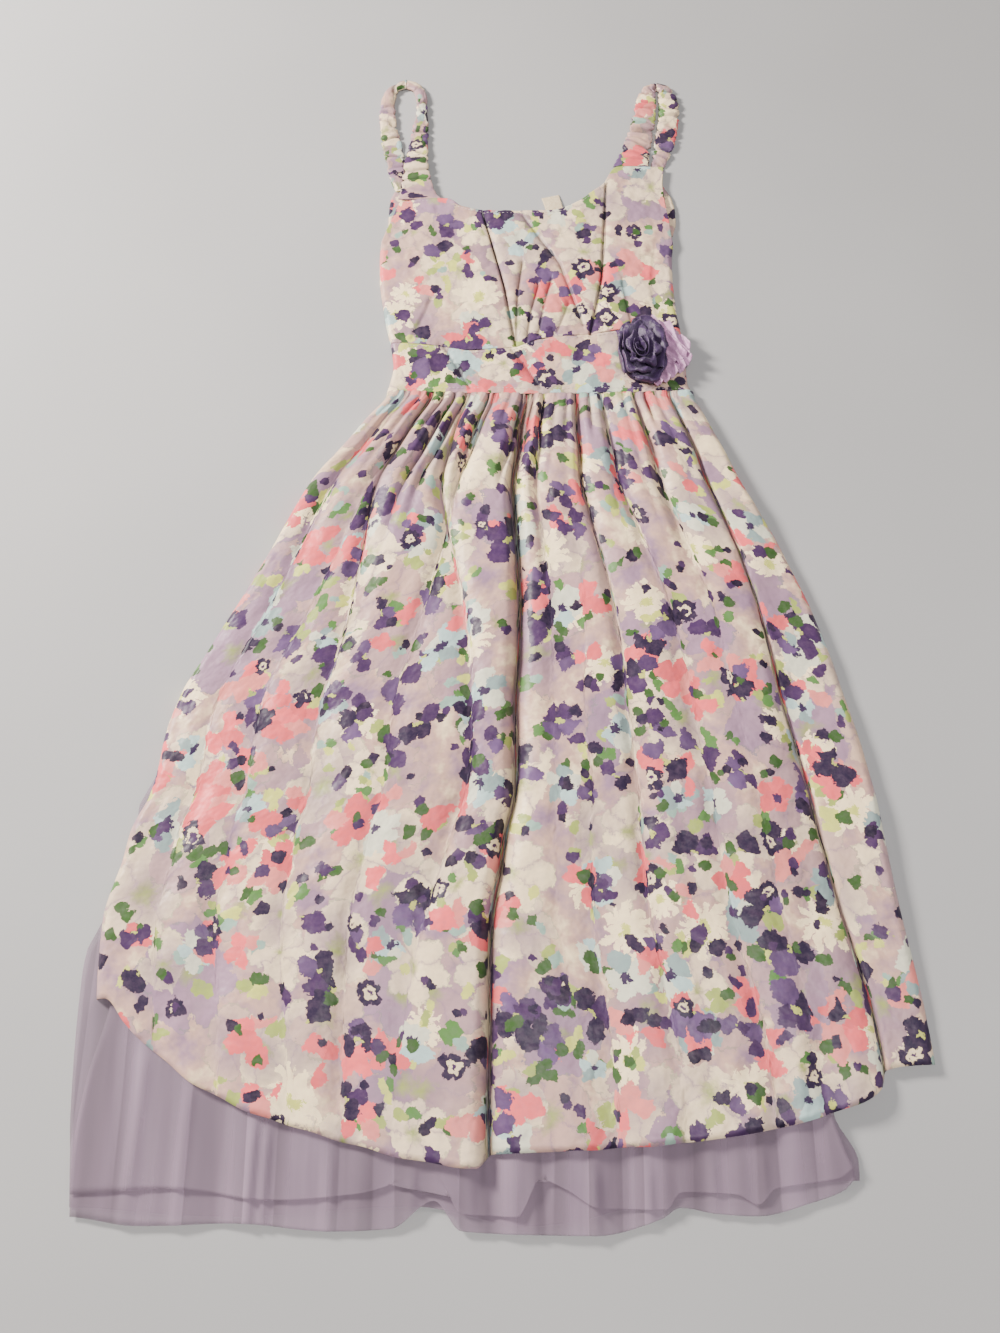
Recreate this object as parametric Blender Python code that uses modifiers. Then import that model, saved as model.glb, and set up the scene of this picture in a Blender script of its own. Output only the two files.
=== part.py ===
"""Sundress in printed satin over a net petticoat, laid flat on its back.

Blender 4.5, metres, +Z up. +Y runs from the hem to the neck and +X to the
viewer's right. Every panel is a grid bent by a function of its place on the
dress and given its wall by Solidify. The skirt, its folds and the net layers
share one function, lift(), so that each layer follows the one above it.

Tables are in millimetres, except the columns named as shares. A "drop" is
a distance down from the waist seam and a "rise" is one up from it.
"""

import math

import bmesh
import bpy

OBJECT_NAME = "sundress"
MM = 0.001

# Walls, and the gap that parts two pieces
CLOTH = 1.2 * MM
NET = 1.0 * MM
SHIRRED = 3.0 * MM
GAP = 0.3 * MM

# Levels of the layers, from the surface that the dress lies on
NET_BACK_LEVEL = CLOTH + GAP + NET
NET_LOWER_LEVEL = NET_BACK_LEVEL + GAP + NET
NET_UPPER_LEVEL = NET_LOWER_LEVEL + GAP + NET
SKIRT_LEVEL = NET_UPPER_LEVEL + GAP + CLOTH
BODICE_LEVEL = SHIRRED + GAP + CLOTH

# Share of the top layer's lift that each front net layer takes, and of its own
# pleats that the back one takes. Hidden stretches follow the lowest of the top
# layer's folds within a reach of one grid face, across and along.
NET_BACK_SHARE = 0.25
NET_LOWER_SHARE = 0.50
NET_UPPER_SHARE = 0.75
NET_REACH_ACROSS = 17.0 * MM
NET_REACH_ALONG = 94.0 * MM

# Side folds, where the front turns down to the surface
SKIRT_ROLL = 9.0 * MM
BODICE_ROLL = 6.0 * MM
EDGE_FOOT = 0.7 * MM
BACK_INSET = 3.0 * MM
BACK_SHORTER = 8.0 * MM

# Where the front net layers end under the skirt at the right, and the drops
# from which the net shows past the skirt's left fold
NET_RIGHT_EDGE = 214.0 * MM
NET_RIGHT_FADE = 26.0 * MM
NET_SHOWS_FROM = 300.0 * MM
NET_BULGES_FROM = 440.0 * MM
NET_BULGE_FADE = 30.0 * MM
NET_FLAP_FADE = 25.0 * MM
NET_EDGE_CLEARANCE = 1.0 * MM
NET_EDGE_FADE = 8.0 * MM
FOLD_ON_NET_CLEARANCE = 0.35 * MM

# Past its hem the skirt's height fades out of the net over a length
NET_SETTLE_LENGTH = 60.0 * MM
NET_SETTLE_SHARE = 0.75
NET_SHOWN_BEFORE_HEM = 6.0 * MM
NET_SHOWN_FADE = 18.0 * MM

# Grids: faces across and along each piece
SKIRT_COLUMNS = 84
SKIRT_ROLL_COLUMNS = 3
SKIRT_ROWS = 13
SKIRT_ROW_CROWDING = 1.3
SKIRT_BACK_COLUMNS = 14
NET_COLUMNS = 36
NET_BACK_COLUMNS = 20
BAND_COLUMNS = 38
BAND_ROWS = 4
CUP_COLUMNS = 12
CENTRE_COLUMNS = 18
BODICE_ROWS = 12
BODICE_ROLL_COLUMNS = 2
BODICE_BACK_ROWS = 10
STRAP_RINGS = 42
STRAP_SIDES = 6

# Strap and rosette sizes
STRAP_RUCHES = 12
RUCHE_DEPTH = 0.16
STRAP_SQUARE_START = 0.12
STRAP_SQUARE_END = 0.90
STRAP_SQUARE_RUN = 0.08
ROSE_CENTRE_X = 134.0 * MM
ROSE_CENTRE_RISE = 41.5 * MM
ROSE_HALF_WIDTH = 26.0 * MM
ROSE_HALF_LENGTH = 38.5 * MM
ROSE_HEIGHT = 19.0 * MM
ROSE_PETALS = 5
ROSE_FOOT = 2.0 * MM
ROSE_OUTLINE = 0.93
PETALS_FIRST_ANGLE = -1.25
PETALS_LAST_ANGLE = 1.28
PETALS_INNER = 1.09
PETALS_OUTER = 1.70
PETALS_STRETCH = 1.05
PETALS_FOLDS = 5.5
PETALS_RUFFLE = 4.0 * MM
PETALS_LIFT = 5.0 * MM
PETALS_GROUND_EDGE = 170.0 * MM
LABEL_LEFT = 49.0 * MM
LABEL_RISE = 207.2 * MM
LABEL_WIDTH = 17.5 * MM
LABEL_LENGTH = 29.5 * MM
LABEL_LEAN = 7.0 * MM
LABEL_SLOPE = 4.5 * MM

WAIST_SAG = 4.0 * MM

COLOURS = {
    "print": (0.62, 0.50, 0.54, 1.0),
    "print_back": (0.55, 0.45, 0.50, 1.0),
    "net": (0.42, 0.36, 0.42, 1.0),
    "rose": (0.075, 0.045, 0.14, 1.0),
    "petal": (0.42, 0.28, 0.50, 1.0),
    "label": (0.75, 0.70, 0.58, 1.0),
}
ROUGHNESS = {"print": 0.42, "print_back": 0.45, "net": 0.8, "rose": 0.4, "petal": 0.4, "label": 0.7}


class Table:
    """Rows of numbers, read between rows by a smooth curve on the first column."""

    def __init__(self, names, rows, shares=()):
        self.names = names.split()
        self.rows = []
        for row in rows:
            scaled = [value if name in shares else value * MM for name, value in zip(self.names, row)]
            self.rows.append(scaled)

    def at(self, name, station):
        column = self.names.index(name)
        rows = self.rows
        if station <= rows[0][0]:
            return rows[0][column]
        if station >= rows[-1][0]:
            return rows[-1][column]
        i = 0
        while rows[i + 1][0] < station:
            i += 1
        span = rows[i + 1][0] - rows[i][0]
        t = (station - rows[i][0]) / span
        start = self.slope(i, column) * span
        end = self.slope(i + 1, column) * span
        a = rows[i][column]
        b = rows[i + 1][column]
        keep = (1 + 2 * t) * (1 - t) ** 2
        turn = t * t * (3 - 2 * t)
        return keep * a + turn * b + t * (1 - t) ** 2 * start - t * t * (1 - t) * end

    def slope(self, i, column):
        """Slope at a row, flat at a peak so that the curve doesn't overshoot."""
        rows = self.rows
        if i == 0 or i == len(rows) - 1:
            return 0.0
        before = (rows[i][column] - rows[i - 1][column]) / (rows[i][0] - rows[i - 1][0])
        after = (rows[i + 1][column] - rows[i][column]) / (rows[i + 1][0] - rows[i][0])
        if before * after <= 0:
            return 0.0
        return 2 * before * after / (before + after)


# Outline of the skirt front: where its two side folds lie at each drop
SKIRT_SIDES = Table("drop left right", [
    (0, -105, 180), (33, -125, 191), (65, -146, 204), (96, -168, 215), (127, -183, 229),
    (157, -196, 242), (186, -209, 253), (214, -222, 263), (242, -236, 271), (269, -249, 278),
    (298, -263, 284), (335, -272, 292), (366, -275, 297), (386, -279, 300), (413, -290, 302),
    (439, -294, 304), (463, -300, 306), (481, -303, 308), (513, -302, 312), (550, -299, 316),
    (590, -296, 318), (660, -292, 318),
])

# Length of the skirt front below the waist, from the left fold to the right one
SKIRT_HEM = Table("across drop", [
    (-1.0, 541), (-0.95, 557), (-0.86, 581), (-0.69, 610), (-0.46, 631), (-0.24, 646),
    (-0.10, 651), (-0.06, 642), (0.10, 640), (0.31, 637), (0.55, 630), (0.81, 613),
    (0.885, 602), (0.905, 590), (1.0, 586),
], shares=("across",))

# Height of the skirt over its layers: at the side folds and in the middle
SKIRT_LOFT = Table("share side middle", [
    (0.0, 2.5, 3.5), (0.03, 3.5, 6.0), (0.12, 5.0, 9.5), (0.35, 6.0, 12.5), (0.65, 6.0, 13.0),
    (0.90, 5.0, 10.5), (1.0, 4.5, 9.0),
], shares=("share",))

# Long folds of the skirt front. Places are shares of the half width at the
# waist, the middle and the hem. Depths are shares of the local height.
# Widths are in mm, to the left and right of the fold line.
SKIRT_FOLDS = [
    # place at waist, middle, hem; depth at waist, middle, hem; width left, right
    (-0.93, -0.90, -0.88, 0.55, 0.25, 0.30, 9, 12),
    (-0.76, -0.58, -0.55, 0.75, 0.30, 0.18, 10, 16),
    (-0.49, -0.12, -0.30, 0.70, 0.32, 0.12, 12, 10),
    (-0.32, -0.36, -0.42, 0.65, 0.22, 0.30, 9, 14),
    (-0.09, 0.01, -0.07, 0.88, 0.86, 0.88, 8, 13),
    (0.02, 0.12, 0.16, 0.60, 0.16, 0.10, 8, 16),
    (0.24, 0.35, 0.40, 0.80, 0.42, 0.12, 8, 13),
    (0.42, 0.55, 0.62, 0.60, 0.22, 0.34, 9, 17),
    (0.65, 0.68, 0.74, 0.60, 0.18, 0.20, 12, 12),
    (0.89, 0.83, 0.90, 0.72, 0.78, 0.80, 7, 26),
    (-0.74, -0.76, -0.72, 0.30, 0.20, 0.38, 14, 10),
    (0.20, 0.22, 0.24, 0.00, 0.18, 0.40, 14, 18),
]

# Toward the waist the long folds narrow to a share of their widths
FOLD_WAIST_WIDTH = 0.35
FOLD_FULL_WIDTH_FROM = 0.40

# Short gathers along the waist seam, one to every three columns of the grid
GATHERS = 26
GATHER_DEPTH = 0.62
GATHER_HALF_WIDTH = 3.2 * MM
GATHER_SPREAD = 0.05
GATHER_SHORTEST = 45.0 * MM
GATHER_LONGEST = 230.0 * MM

# Net petticoat: side edges of the front layers and of the back layer
NET_SIDES = Table("drop left right", [
    (0, -96, 170), (150, -180, 190), (300, -248, 204), (420, -275, 214), (540, -287, 226),
    (600, -300, 232), (640, -303, 243), (660, -302, 250), (700, -299, 246),
])
NET_BACK_SIDES = Table("drop left right", [
    (0, -98, 170), (150, -186, 194), (300, -255, 208), (350, -266, 212), (364, -289, 213),
    (386, -291, 214), (400, -278, 216), (440, -284, 218), (463, -300, 220), (490, -310, 223),
    (520, -314, 226), (560, -313, 230), (620, -309, 240), (650, -305, 254), (700, -300, 250),
])
# Hems of the three net layers, across the dress
NET_LOWER_HEM = Table("x drop", [
    (-305, 686), (-254, 691), (-180, 688), (-120, 692), (-76, 690), (-46, 672), (-27, 691),
    (7, 693), (69, 694), (112, 684), (126, 677), (150, 681), (180, 683), (215, 676),
    (241, 668), (252, 660),
])
NET_UPPER_HEM = Table("x drop", [
    (-305, 672), (-230, 667), (-160, 673), (-100, 668), (-46, 655), (-26, 680), (12, 682),
    (28, 658), (45, 664), (70, 677), (116, 678), (126, 667), (165, 669), (180, 676),
    (192, 666), (238, 660), (252, 652),
])
NET_BACK_HEM = Table("x drop", [
    (-315, 680), (-200, 684), (-60, 676), (20, 688), (120, 672), (252, 662),
])
# Rows of the net layers, as shares of the skirt's length; the hem row follows
NET_ROWS = [0.004, 0.14, 0.28, 0.42, 0.56, 0.70, 0.84, 0.985, 1.03]
NET_BACK_ROWS = [0.004, 0.19, 0.38, 0.57, 0.647, 0.673, 0.713, 0.739, 0.813, 0.861, 0.924, 0.985, 1.03]
NET_PLEATS = 12
NET_PLEAT_HEIGHT = 3.0 * MM
NET_PLEATS_BEFORE_HEM = 30.0 * MM
NET_PLEATS_GROW = 50.0 * MM
NET_WIDTH = 600.0 * MM
HEM_STEP = 16.0 * MM
HEM_STEP_START = 2.0 * MM

# Bodice and band: rolled sides, then the free armhole edges above them
BODICE_SIDES = Table("rise left right", [
    (0, -105, 178), (10, -103, 175), (28, -100, 174), (46, -102, 174), (61, -105, 173),
    (78, -109, 171), (96, -112, 169), (132, -117, 168), (160, -118, 169), (172, -117, 170),
    (185, -114, 169), (201, -109, 168), (217, -104, 166), (228, -101, 165), (250, -101, 164),
    (275, -101, 166),
])
UNDERARM = 156.0 * MM
ARMHOLE_START = 177.0 * MM
BACK_BAND_TOP = 50.0 * MM
BAND_ABOUT = 60.0 * MM
NECK_ABOUT = 230.0 * MM
BAND_TOP = Table("x rise", [
    (-105, 55), (-58, 50), (-30, 45), (9, 48), (40, 58), (86, 63.5), (115, 68), (175, 73),
])
NECKLINE = Table("x rise", [
    (-101, 226), (-94, 229), (-72, 231), (-52, 230), (-39, 221), (-20, 216), (10, 214),
    (45, 215), (60, 217), (75, 224), (90, 237), (105, 252), (115, 270), (120, 273), (168, 274),
])
LEFT_SEAM = Table("rise x", [(40, 16), (65, 13.5), (98, 8), (138, 0), (182, -10.4), (212, -17), (235, -21)])
RIGHT_SEAM = Table("rise x", [(55, 84), (88, 92), (118, 96), (148, 100), (167, 103), (204, 105), (260, 106)])
BODICE_LOFT = Table("rise side middle", [
    (0, 2.0, 3.4), (50, 2.0, 3.6), (90, 2.2, 4.6), (150, 2.2, 5.2), (200, 1.6, 4.0), (240, 1.2, 3.0),
    (275, 1.0, 2.4),
])
# Creases of the bodice and band: two or three points on each, its depth as a
# share of the local height, and its half width
BODICE_CREASES = [
    # x1, rise1, x2, rise2, x3, rise3, depth, half width
    (14, 52, 4, 120, -17, 212, 0.70, 5.0),
    (85, 64, 98, 130, 107, 250, 0.70, 5.0),
    (22, 209, 58, 148, 79, 75, 0.60, 6.0),
    (22, 150, 17, 112, 15, 58, 0.60, 4.5),
    (37, 122, 29, 88, 25, 55, 0.60, 4.5),
    (50, 130, 42, 98, 36, 62, 0.50, 4.5),
    (66, 100, 60, 82, 54, 66, 0.40, 4.5),
    (-54, 51, -41, 27, -28, 3, 0.60, 4.5),
    (10, 47, 23, 28, 37, 3, 0.60, 4.5),
    (-84, 60, -74, 84, -66, 106, 0.35, 7.0),
    (126, 70, 122, 96, 118, 124, 0.35, 7.0),
    (150, 80, 146, 120, 150, 160, 0.25, 9.0),
]
BODICE_BACK_SIDES = Table("rise left right", [
    (0, -99, 172), (28, -96, 170), (61, -101, 168), (96, -108, 164), (132, -113, 163), (160, -114, 164),
    (176, -112, 165), (190, -111.5, 172), (204, -111, 175), (217, -111, 175), (232, -110, 173),
    (245, -106, 168), (258, -104, 161),
])
BODICE_BACK_TOP = Table("x rise", [
    (-106, 243), (-97, 238), (-84, 220), (-60, 208), (0, 206), (62, 206), (104, 216), (132, 240),
    (150, 254), (161, 257), (170, 249),
])

# Straps: centre line, width, underside and height of each length, from the
# bodice to the shoulder seam
STRAP_COLUMNS = "along x rise width under height"
STRAPS = {
    "strap_left_front": [
        (0.00, -84, 231.5, 36, 3.6, 2.6), (0.08, -83.5, 243, 34, 3.5, 3.2), (0.20, -84.6, 262, 29, 3.5, 4.0),
        (0.31, -85, 279, 25, 3.5, 4.5), (0.45, -84, 301, 21, 1.2, 5.5), (0.59, -82.5, 325, 18, 0, 6.0),
        (0.73, -81.5, 348, 13, 0, 6.0), (0.84, -82, 366, 12, 0, 6.0), (0.93, -87, 385, 13, 0, 5.5),
        (1.00, -98.85, 392.5, 13, 0, 5.0),
    ],
    "strap_left_back": [
        (0.00, -101, 245.5, 9, 0, 2.4), (0.09, -104.5, 259, 13, 0, 2.7), (0.22, -105.8, 275, 19, 0, 2.9),
        (0.36, -109, 294, 21, 0, 3.6), (0.50, -112.5, 312, 21, 0, 5.0), (0.62, -115.5, 329, 18, 0, 6.0),
        (0.75, -117.5, 348, 18, 0, 6.0), (0.86, -117.5, 366, 15, 0, 6.0), (0.94, -111, 386, 13, 0, 5.5),
        (1.00, -99.15, 392.5, 13, 0, 5.0),
    ],
    "strap_right_front": [
        (0.00, 134, 274.6, 35, 3.4, 2.6), (0.12, 137.5, 290, 32, 1.4, 4.4), (0.26, 141.5, 306, 29, 0, 6.0),
        (0.46, 147.5, 330, 26, 0, 6.0), (0.70, 152.5, 359, 23, 0, 6.0), (0.84, 155, 375, 19, 0, 6.0),
        (0.92, 158, 384, 14, 0, 5.5), (1.00, 165.35, 388, 11, 0, 5.0),
    ],
    "strap_right_back": [
        (0.00, 158, 259, 13, 0, 2.3), (0.14, 161, 277, 14, 0, 2.6), (0.27, 165.5, 292, 18, 0, 5.0),
        (0.38, 169, 306, 21, 0, 6.0), (0.56, 174, 330, 22, 0, 6.0), (0.76, 177, 359, 22, 0, 6.0),
        (0.88, 175.5, 375, 19, 0, 6.0), (0.94, 172.5, 384, 14, 0, 5.5), (1.00, 165.65, 388, 11, 0, 5.0),
    ],
}


def lerp(a, b, t):
    return a + (b - a) * t


def clamp(value, low=0.0, high=1.0):
    return max(low, min(high, value))


def ease(t):
    """Soft step from 0 to 1."""
    t = clamp(t)
    return t * t * (3 - 2 * t)


def scatter(index, seed):
    """A fixed number from 0 to 1 for each index, to make repeats uneven."""
    value = math.sin(index * 12.9898 + seed * 78.233) * 43758.5453
    return value - math.floor(value)


def three_point(first, middle, last, share):
    """Value that passes through three given ones at shares 0, 0.5 and 1."""
    if share < 0.5:
        return lerp(first, middle, ease(share * 2))
    return lerp(middle, last, ease(share * 2 - 1))


# The skirt's surface

def skirt_centre(drop):
    return 0.5 * (SKIRT_SIDES.at("left", drop) + SKIRT_SIDES.at("right", drop))


def skirt_half(drop):
    return 0.5 * (SKIRT_SIDES.at("right", drop) - SKIRT_SIDES.at("left", drop))


def waist_y(across):
    """The waist seam dips a little between the side folds."""
    return -WAIST_SAG * (1 - clamp(abs(across)) ** 2)


def skirt_row_drop(row):
    """Drop of a row of the skirt's grid at its left fold."""
    return (row / SKIRT_ROWS) ** SKIRT_ROW_CROWDING * SKIRT_HEM.at("drop", -1.0)


def skirt_left_edge(drop):
    """The left fold as the skirt's own grid has it, straight between two rows."""
    row = 0
    while row < SKIRT_ROWS - 1 and skirt_row_drop(row + 1) < drop:
        row += 1
    low = skirt_row_drop(row)
    high = skirt_row_drop(row + 1)
    share = clamp((drop - low) / (high - low))
    return lerp(SKIRT_SIDES.at("left", low), SKIRT_SIDES.at("left", high), share)


def skirt_across(x, drop):
    """Place across the flat of the skirt, -1 and 1 where the side folds start."""
    return (x - skirt_centre(drop)) / (skirt_half(drop) - SKIRT_ROLL)


def long_fold_factor(across, share, half):
    """What the long folds leave of the height, from 0 to 1."""
    left = 1.0
    for row in SKIRT_FOLDS:
        waist, middle, hem, deep_waist, deep_middle, deep_hem, width_left, width_right = row
        centre = three_point(waist, middle, hem, share)
        depth = three_point(deep_waist, deep_middle, deep_hem, share)
        away = (across - centre) * half
        width = (width_left if away < 0 else width_right) * MM
        width *= lerp(FOLD_WAIST_WIDTH, 1.0, ease(share / FOLD_FULL_WIDTH_FROM))
        left *= 1 - depth * math.exp(-(away / width) ** 2)
    return left


def gather_factor(across, drop, half):
    """What the short gathers at the waist leave of the height."""
    left = 1.0
    for i in range(GATHERS):
        run = lerp(GATHER_SHORTEST, GATHER_LONGEST, scatter(i, 1) ** 1.6)
        fade = 1 - ease(drop / run)
        if fade <= 0:
            continue
        jitter = (scatter(i, 2) - 0.5) * 0.2
        centre = -1 + 2 * (3 * i + 1 + jitter) / (3 * GATHERS)
        away = (across - centre) * half
        width = GATHER_HALF_WIDTH + GATHER_SPREAD * drop
        depth = GATHER_DEPTH * (0.75 + 0.5 * scatter(i, 3)) * fade
        left *= 1 - min(depth, 0.9) * math.exp(-(away / width) ** 2)
    return left


def lift(x, drop):
    """Height of the top layer over its lowest level, folds included."""
    across = clamp(skirt_across(x, drop), -1, 1)
    length = SKIRT_HEM.at("drop", across)
    share = clamp(drop / length)
    half = skirt_half(drop)
    side = SKIRT_LOFT.at("side", share)
    middle = SKIRT_LOFT.at("middle", share)
    dome = side + (middle - side) * (1 - across * across)
    factor = long_fold_factor(across, share, half) * gather_factor(across, drop, half)
    past_hem = clamp((drop - length) / NET_SETTLE_LENGTH)
    return dome * factor * (1 - NET_SETTLE_SHARE * ease(past_hem))


def lowest_lift(x, drop, widen):
    """The lowest of the top layer within a reach, so that a coarser layer stays under it."""
    across = clamp(skirt_across(x, drop), -1, 1)
    length = SKIRT_HEM.at("drop", across)
    shown = ease((drop - length + NET_SHOWN_BEFORE_HEM) / NET_SHOWN_FADE)
    reach_x = NET_REACH_ACROSS * widen * (1 - 0.8 * shown)
    reach_y = NET_REACH_ALONG * widen * (1 - shown)
    lowest = lift(x, drop)
    for step_x in (-1, -0.67, -0.33, 0, 0.33, 0.67, 1):
        for step_y in (-1, -0.75, -0.5, -0.25, 0, 0.25, 0.5, 0.75, 1):
            near = max(0.0, drop + step_y * reach_y)
            lowest = min(lowest, lift(x + step_x * reach_x, near))
    return lowest


def net_pleats(x, drop):
    """Soft pleats of the net where it shows below the hem."""
    across = clamp(skirt_across(x, drop), -1, 1)
    length = SKIRT_HEM.at("drop", across)
    grow = ease((drop - length + NET_PLEATS_BEFORE_HEM) / NET_PLEATS_GROW)
    phase = x / NET_WIDTH * NET_PLEATS * 2 * math.pi
    wave = math.sin(phase + 1.6 * math.sin(phase * 0.31)) * 0.5 + 0.5
    wave = wave * (0.55 + 0.45 * math.sin(phase * 0.23 + 1.0))
    return NET_PLEAT_HEIGHT * grow * wave


def net_under(x):
    """1 where the net layers lie under the skirt front, 0 right of them."""
    return 1 - ease((x - NET_RIGHT_EDGE) / NET_RIGHT_FADE)


def bed(x, drop):
    """How far the layers sink past the hem of the skirt back, down to the surface."""
    across = clamp(skirt_across(x, drop), -1, 1)
    length = SKIRT_HEM.at("drop", across)
    below = ease((drop - length + HEM_STEP_START) / HEM_STEP)
    beside = ease((skirt_left_edge(drop) - NET_EDGE_CLEARANCE - x) / NET_EDGE_FADE)
    bulging = ease((drop - NET_BULGES_FROM) / NET_BULGE_FADE)
    return (CLOTH + GAP) * max(below, beside * bulging)


def skirt_top(x, drop):
    """Top of the skirt front where it lies on the flat."""
    layers = (SKIRT_LEVEL - CLOTH - GAP - CLOTH) * (1 - net_under(x))
    return SKIRT_LEVEL - layers + lift(x, drop)


def skirt_edge_foot(side, drop):
    """Lowest point of a side fold: on the surface, or on the net where that shows."""
    if side > 0:
        return EDGE_FOOT
    on_net = ease((drop - NET_SHOWS_FROM) / NET_FLAP_FADE)
    return lerp(EDGE_FOOT, NET_BACK_LEVEL + GAP + FOLD_ON_NET_CLEARANCE, on_net)


def skirt_front_point(p, q):
    """Point of the skirt front. p runs across and q from the waist to the hem."""
    column = p * SKIRT_COLUMNS - SKIRT_COLUMNS / 2
    flat_columns = SKIRT_COLUMNS / 2 - SKIRT_ROLL_COLUMNS
    across = clamp(column / flat_columns, -1, 1)
    share = q ** SKIRT_ROW_CROWDING
    drop = share * SKIRT_HEM.at("drop", across) + GAP / 2
    x = skirt_centre(drop) + across * (skirt_half(drop) - SKIRT_ROLL)
    z = skirt_top(x, drop)
    turned = max(0.0, abs(column) - flat_columns) / SKIRT_ROLL_COLUMNS
    if turned > 0:
        side = math.copysign(1, column)
        angle = turned * math.pi / 2
        foot = skirt_edge_foot(side, drop)
        x += side * SKIRT_ROLL * math.sin(angle)
        z = foot + (z - foot) * math.cos(angle)
    return x, waist_y(across) - drop, z


def skirt_back_point(p, q):
    across = 2 * p - 1
    drop = GAP / 2 + q ** SKIRT_ROW_CROWDING * (SKIRT_HEM.at("drop", across) - BACK_SHORTER)
    x = skirt_centre(drop) + across * (skirt_half(drop) - BACK_INSET)
    return x, waist_y(across) - drop, CLOTH


def net_place(p, rows, row, sides, hem):
    """Place of a point of a net layer: its rows keep to the skirt's length, then its own hem."""
    drop = (rows[row] if row < len(rows) else 1.06) * SKIRT_HEM.at("drop", 2 * p - 1)
    for _ in range(4):
        x = lerp(sides.at("left", drop), sides.at("right", drop), p)
        across = clamp(skirt_across(x, drop), -1, 1)
        drop = rows[row] * SKIRT_HEM.at("drop", across) if row < len(rows) else hem.at("drop", x)
    return x, drop


def net_front_point(p, q, hem, level, share, widen):
    """Point of a front net layer, which follows the skirt front above it."""
    x, drop = net_place(p, NET_ROWS, round(q * len(NET_ROWS)), NET_SIDES, hem)
    z = level - bed(x, drop) + share * (lowest_lift(x, drop, widen) + net_pleats(x, drop))
    return x, waist_y(skirt_across(x, drop)) - drop, z


def net_upper_point(p, q):
    return net_front_point(p, q, NET_UPPER_HEM, NET_UPPER_LEVEL, NET_UPPER_SHARE, 1.0)


def net_lower_point(p, q):
    return net_front_point(p, q, NET_LOWER_HEM, NET_LOWER_LEVEL, NET_LOWER_SHARE, 1.2)


def net_back_point(p, q):
    row = round(q * len(NET_BACK_ROWS))
    x, drop = net_place(p, NET_BACK_ROWS, row, NET_BACK_SIDES, NET_BACK_HEM)
    fold = skirt_left_edge(drop) - NET_EDGE_CLEARANCE
    if round(p * NET_BACK_COLUMNS) == 1 and NET_BACK_SIDES.at("left", drop) < fold:
        x = fold
    z = NET_BACK_LEVEL - bed(x, drop) + NET_BACK_SHARE * net_pleats(x, drop)
    return x, waist_y(skirt_across(x, drop)) - drop, z


# The bodice's surface

def distance_to_segment(x, y, x1, y1, x2, y2):
    length = math.hypot(x2 - x1, y2 - y1)
    t = clamp(((x - x1) * (x2 - x1) + (y - y1) * (y2 - y1)) / length ** 2)
    return math.hypot(x - lerp(x1, x2, t), y - lerp(y1, y2, t))


def crease_factor(x, rise):
    left = 1.0
    for row in BODICE_CREASES:
        x1, y1, x2, y2, x3, y3, _, half_width = [value * MM for value in row]
        near = min(distance_to_segment(x, rise, x1, y1, x2, y2), distance_to_segment(x, rise, x2, y2, x3, y3))
        left *= 1 - row[6] * math.exp(-(near / half_width) ** 2)
    return left


def bodice_top(x, rise):
    """Top of the front of the bodice and band, where it lies on the flat."""
    left = BODICE_SIDES.at("left", rise) + BODICE_ROLL
    right = BODICE_SIDES.at("right", rise) - BODICE_ROLL
    across = clamp((2 * x - left - right) / (right - left), -1, 1)
    side = BODICE_LOFT.at("side", rise)
    middle = BODICE_LOFT.at("middle", rise)
    dome = side + (middle - side) * (1 - across ** 4)
    return BODICE_LEVEL + dome * crease_factor(x, rise)


def roll_side(x, rise, z, side, turned):
    """Turn the edge of the bodice down at its side, and leave it flat at the armhole."""
    if turned <= 0:
        return x, z
    rolled = 1 - ease((rise - UNDERARM) / (ARMHOLE_START - UNDERARM))
    angle = turned * math.pi / 2
    x += side * BODICE_ROLL * lerp(turned, math.sin(angle), rolled)
    turned_down = EDGE_FOOT + (z - EDGE_FOOT) * math.cos(angle)
    return x, lerp(z, turned_down, rolled)


def panel_place(p, low, high, columns):
    """Share across the flat of a panel, and how far round its side fold a column is."""
    column = p * columns
    first = BODICE_ROLL_COLUMNS if low else 0
    last = columns - (BODICE_ROLL_COLUMNS if high else 0)
    share = clamp((column - first) / (last - first))
    turned = max(first - column, column - last, 0) / BODICE_ROLL_COLUMNS
    return share, turned


def cup_left_point(p, q):
    share, turned = panel_place(p, True, False, CUP_COLUMNS)
    return bodice_panel_point(share, turned, -1, q, "side", LEFT_SEAM)


def cup_right_point(p, q):
    share, turned = panel_place(p, False, True, CUP_COLUMNS)
    return bodice_panel_point(share, turned, 1, q, RIGHT_SEAM, "side")


def centre_point(p, q):
    return bodice_panel_point(p, 0.0, 0, q, LEFT_SEAM, RIGHT_SEAM)


def bodice_panel_point(share, turned, side, q, left_edge, right_edge):
    """Point of a bodice panel between the band and the neckline."""
    rise = lerp(BAND_ABOUT, NECK_ABOUT, q)
    for _ in range(4):
        left, right = panel_edges(rise, left_edge, right_edge)
        x = lerp(left, right, share)
        rise = lerp(BAND_TOP.at("rise", x) + GAP, NECKLINE.at("rise", x), q)
    z = bodice_top(x, rise)
    x, z = roll_side(x, rise, z, side, turned)
    return x, rise, z


def panel_edges(rise, left_edge, right_edge):
    if left_edge == "side":
        left = BODICE_SIDES.at("left", rise) + BODICE_ROLL
    else:
        left = left_edge.at("x", rise) + GAP / 2
    if right_edge == "side":
        right = BODICE_SIDES.at("right", rise) - BODICE_ROLL
    else:
        right = right_edge.at("x", rise) - GAP / 2
    return left, right


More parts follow.
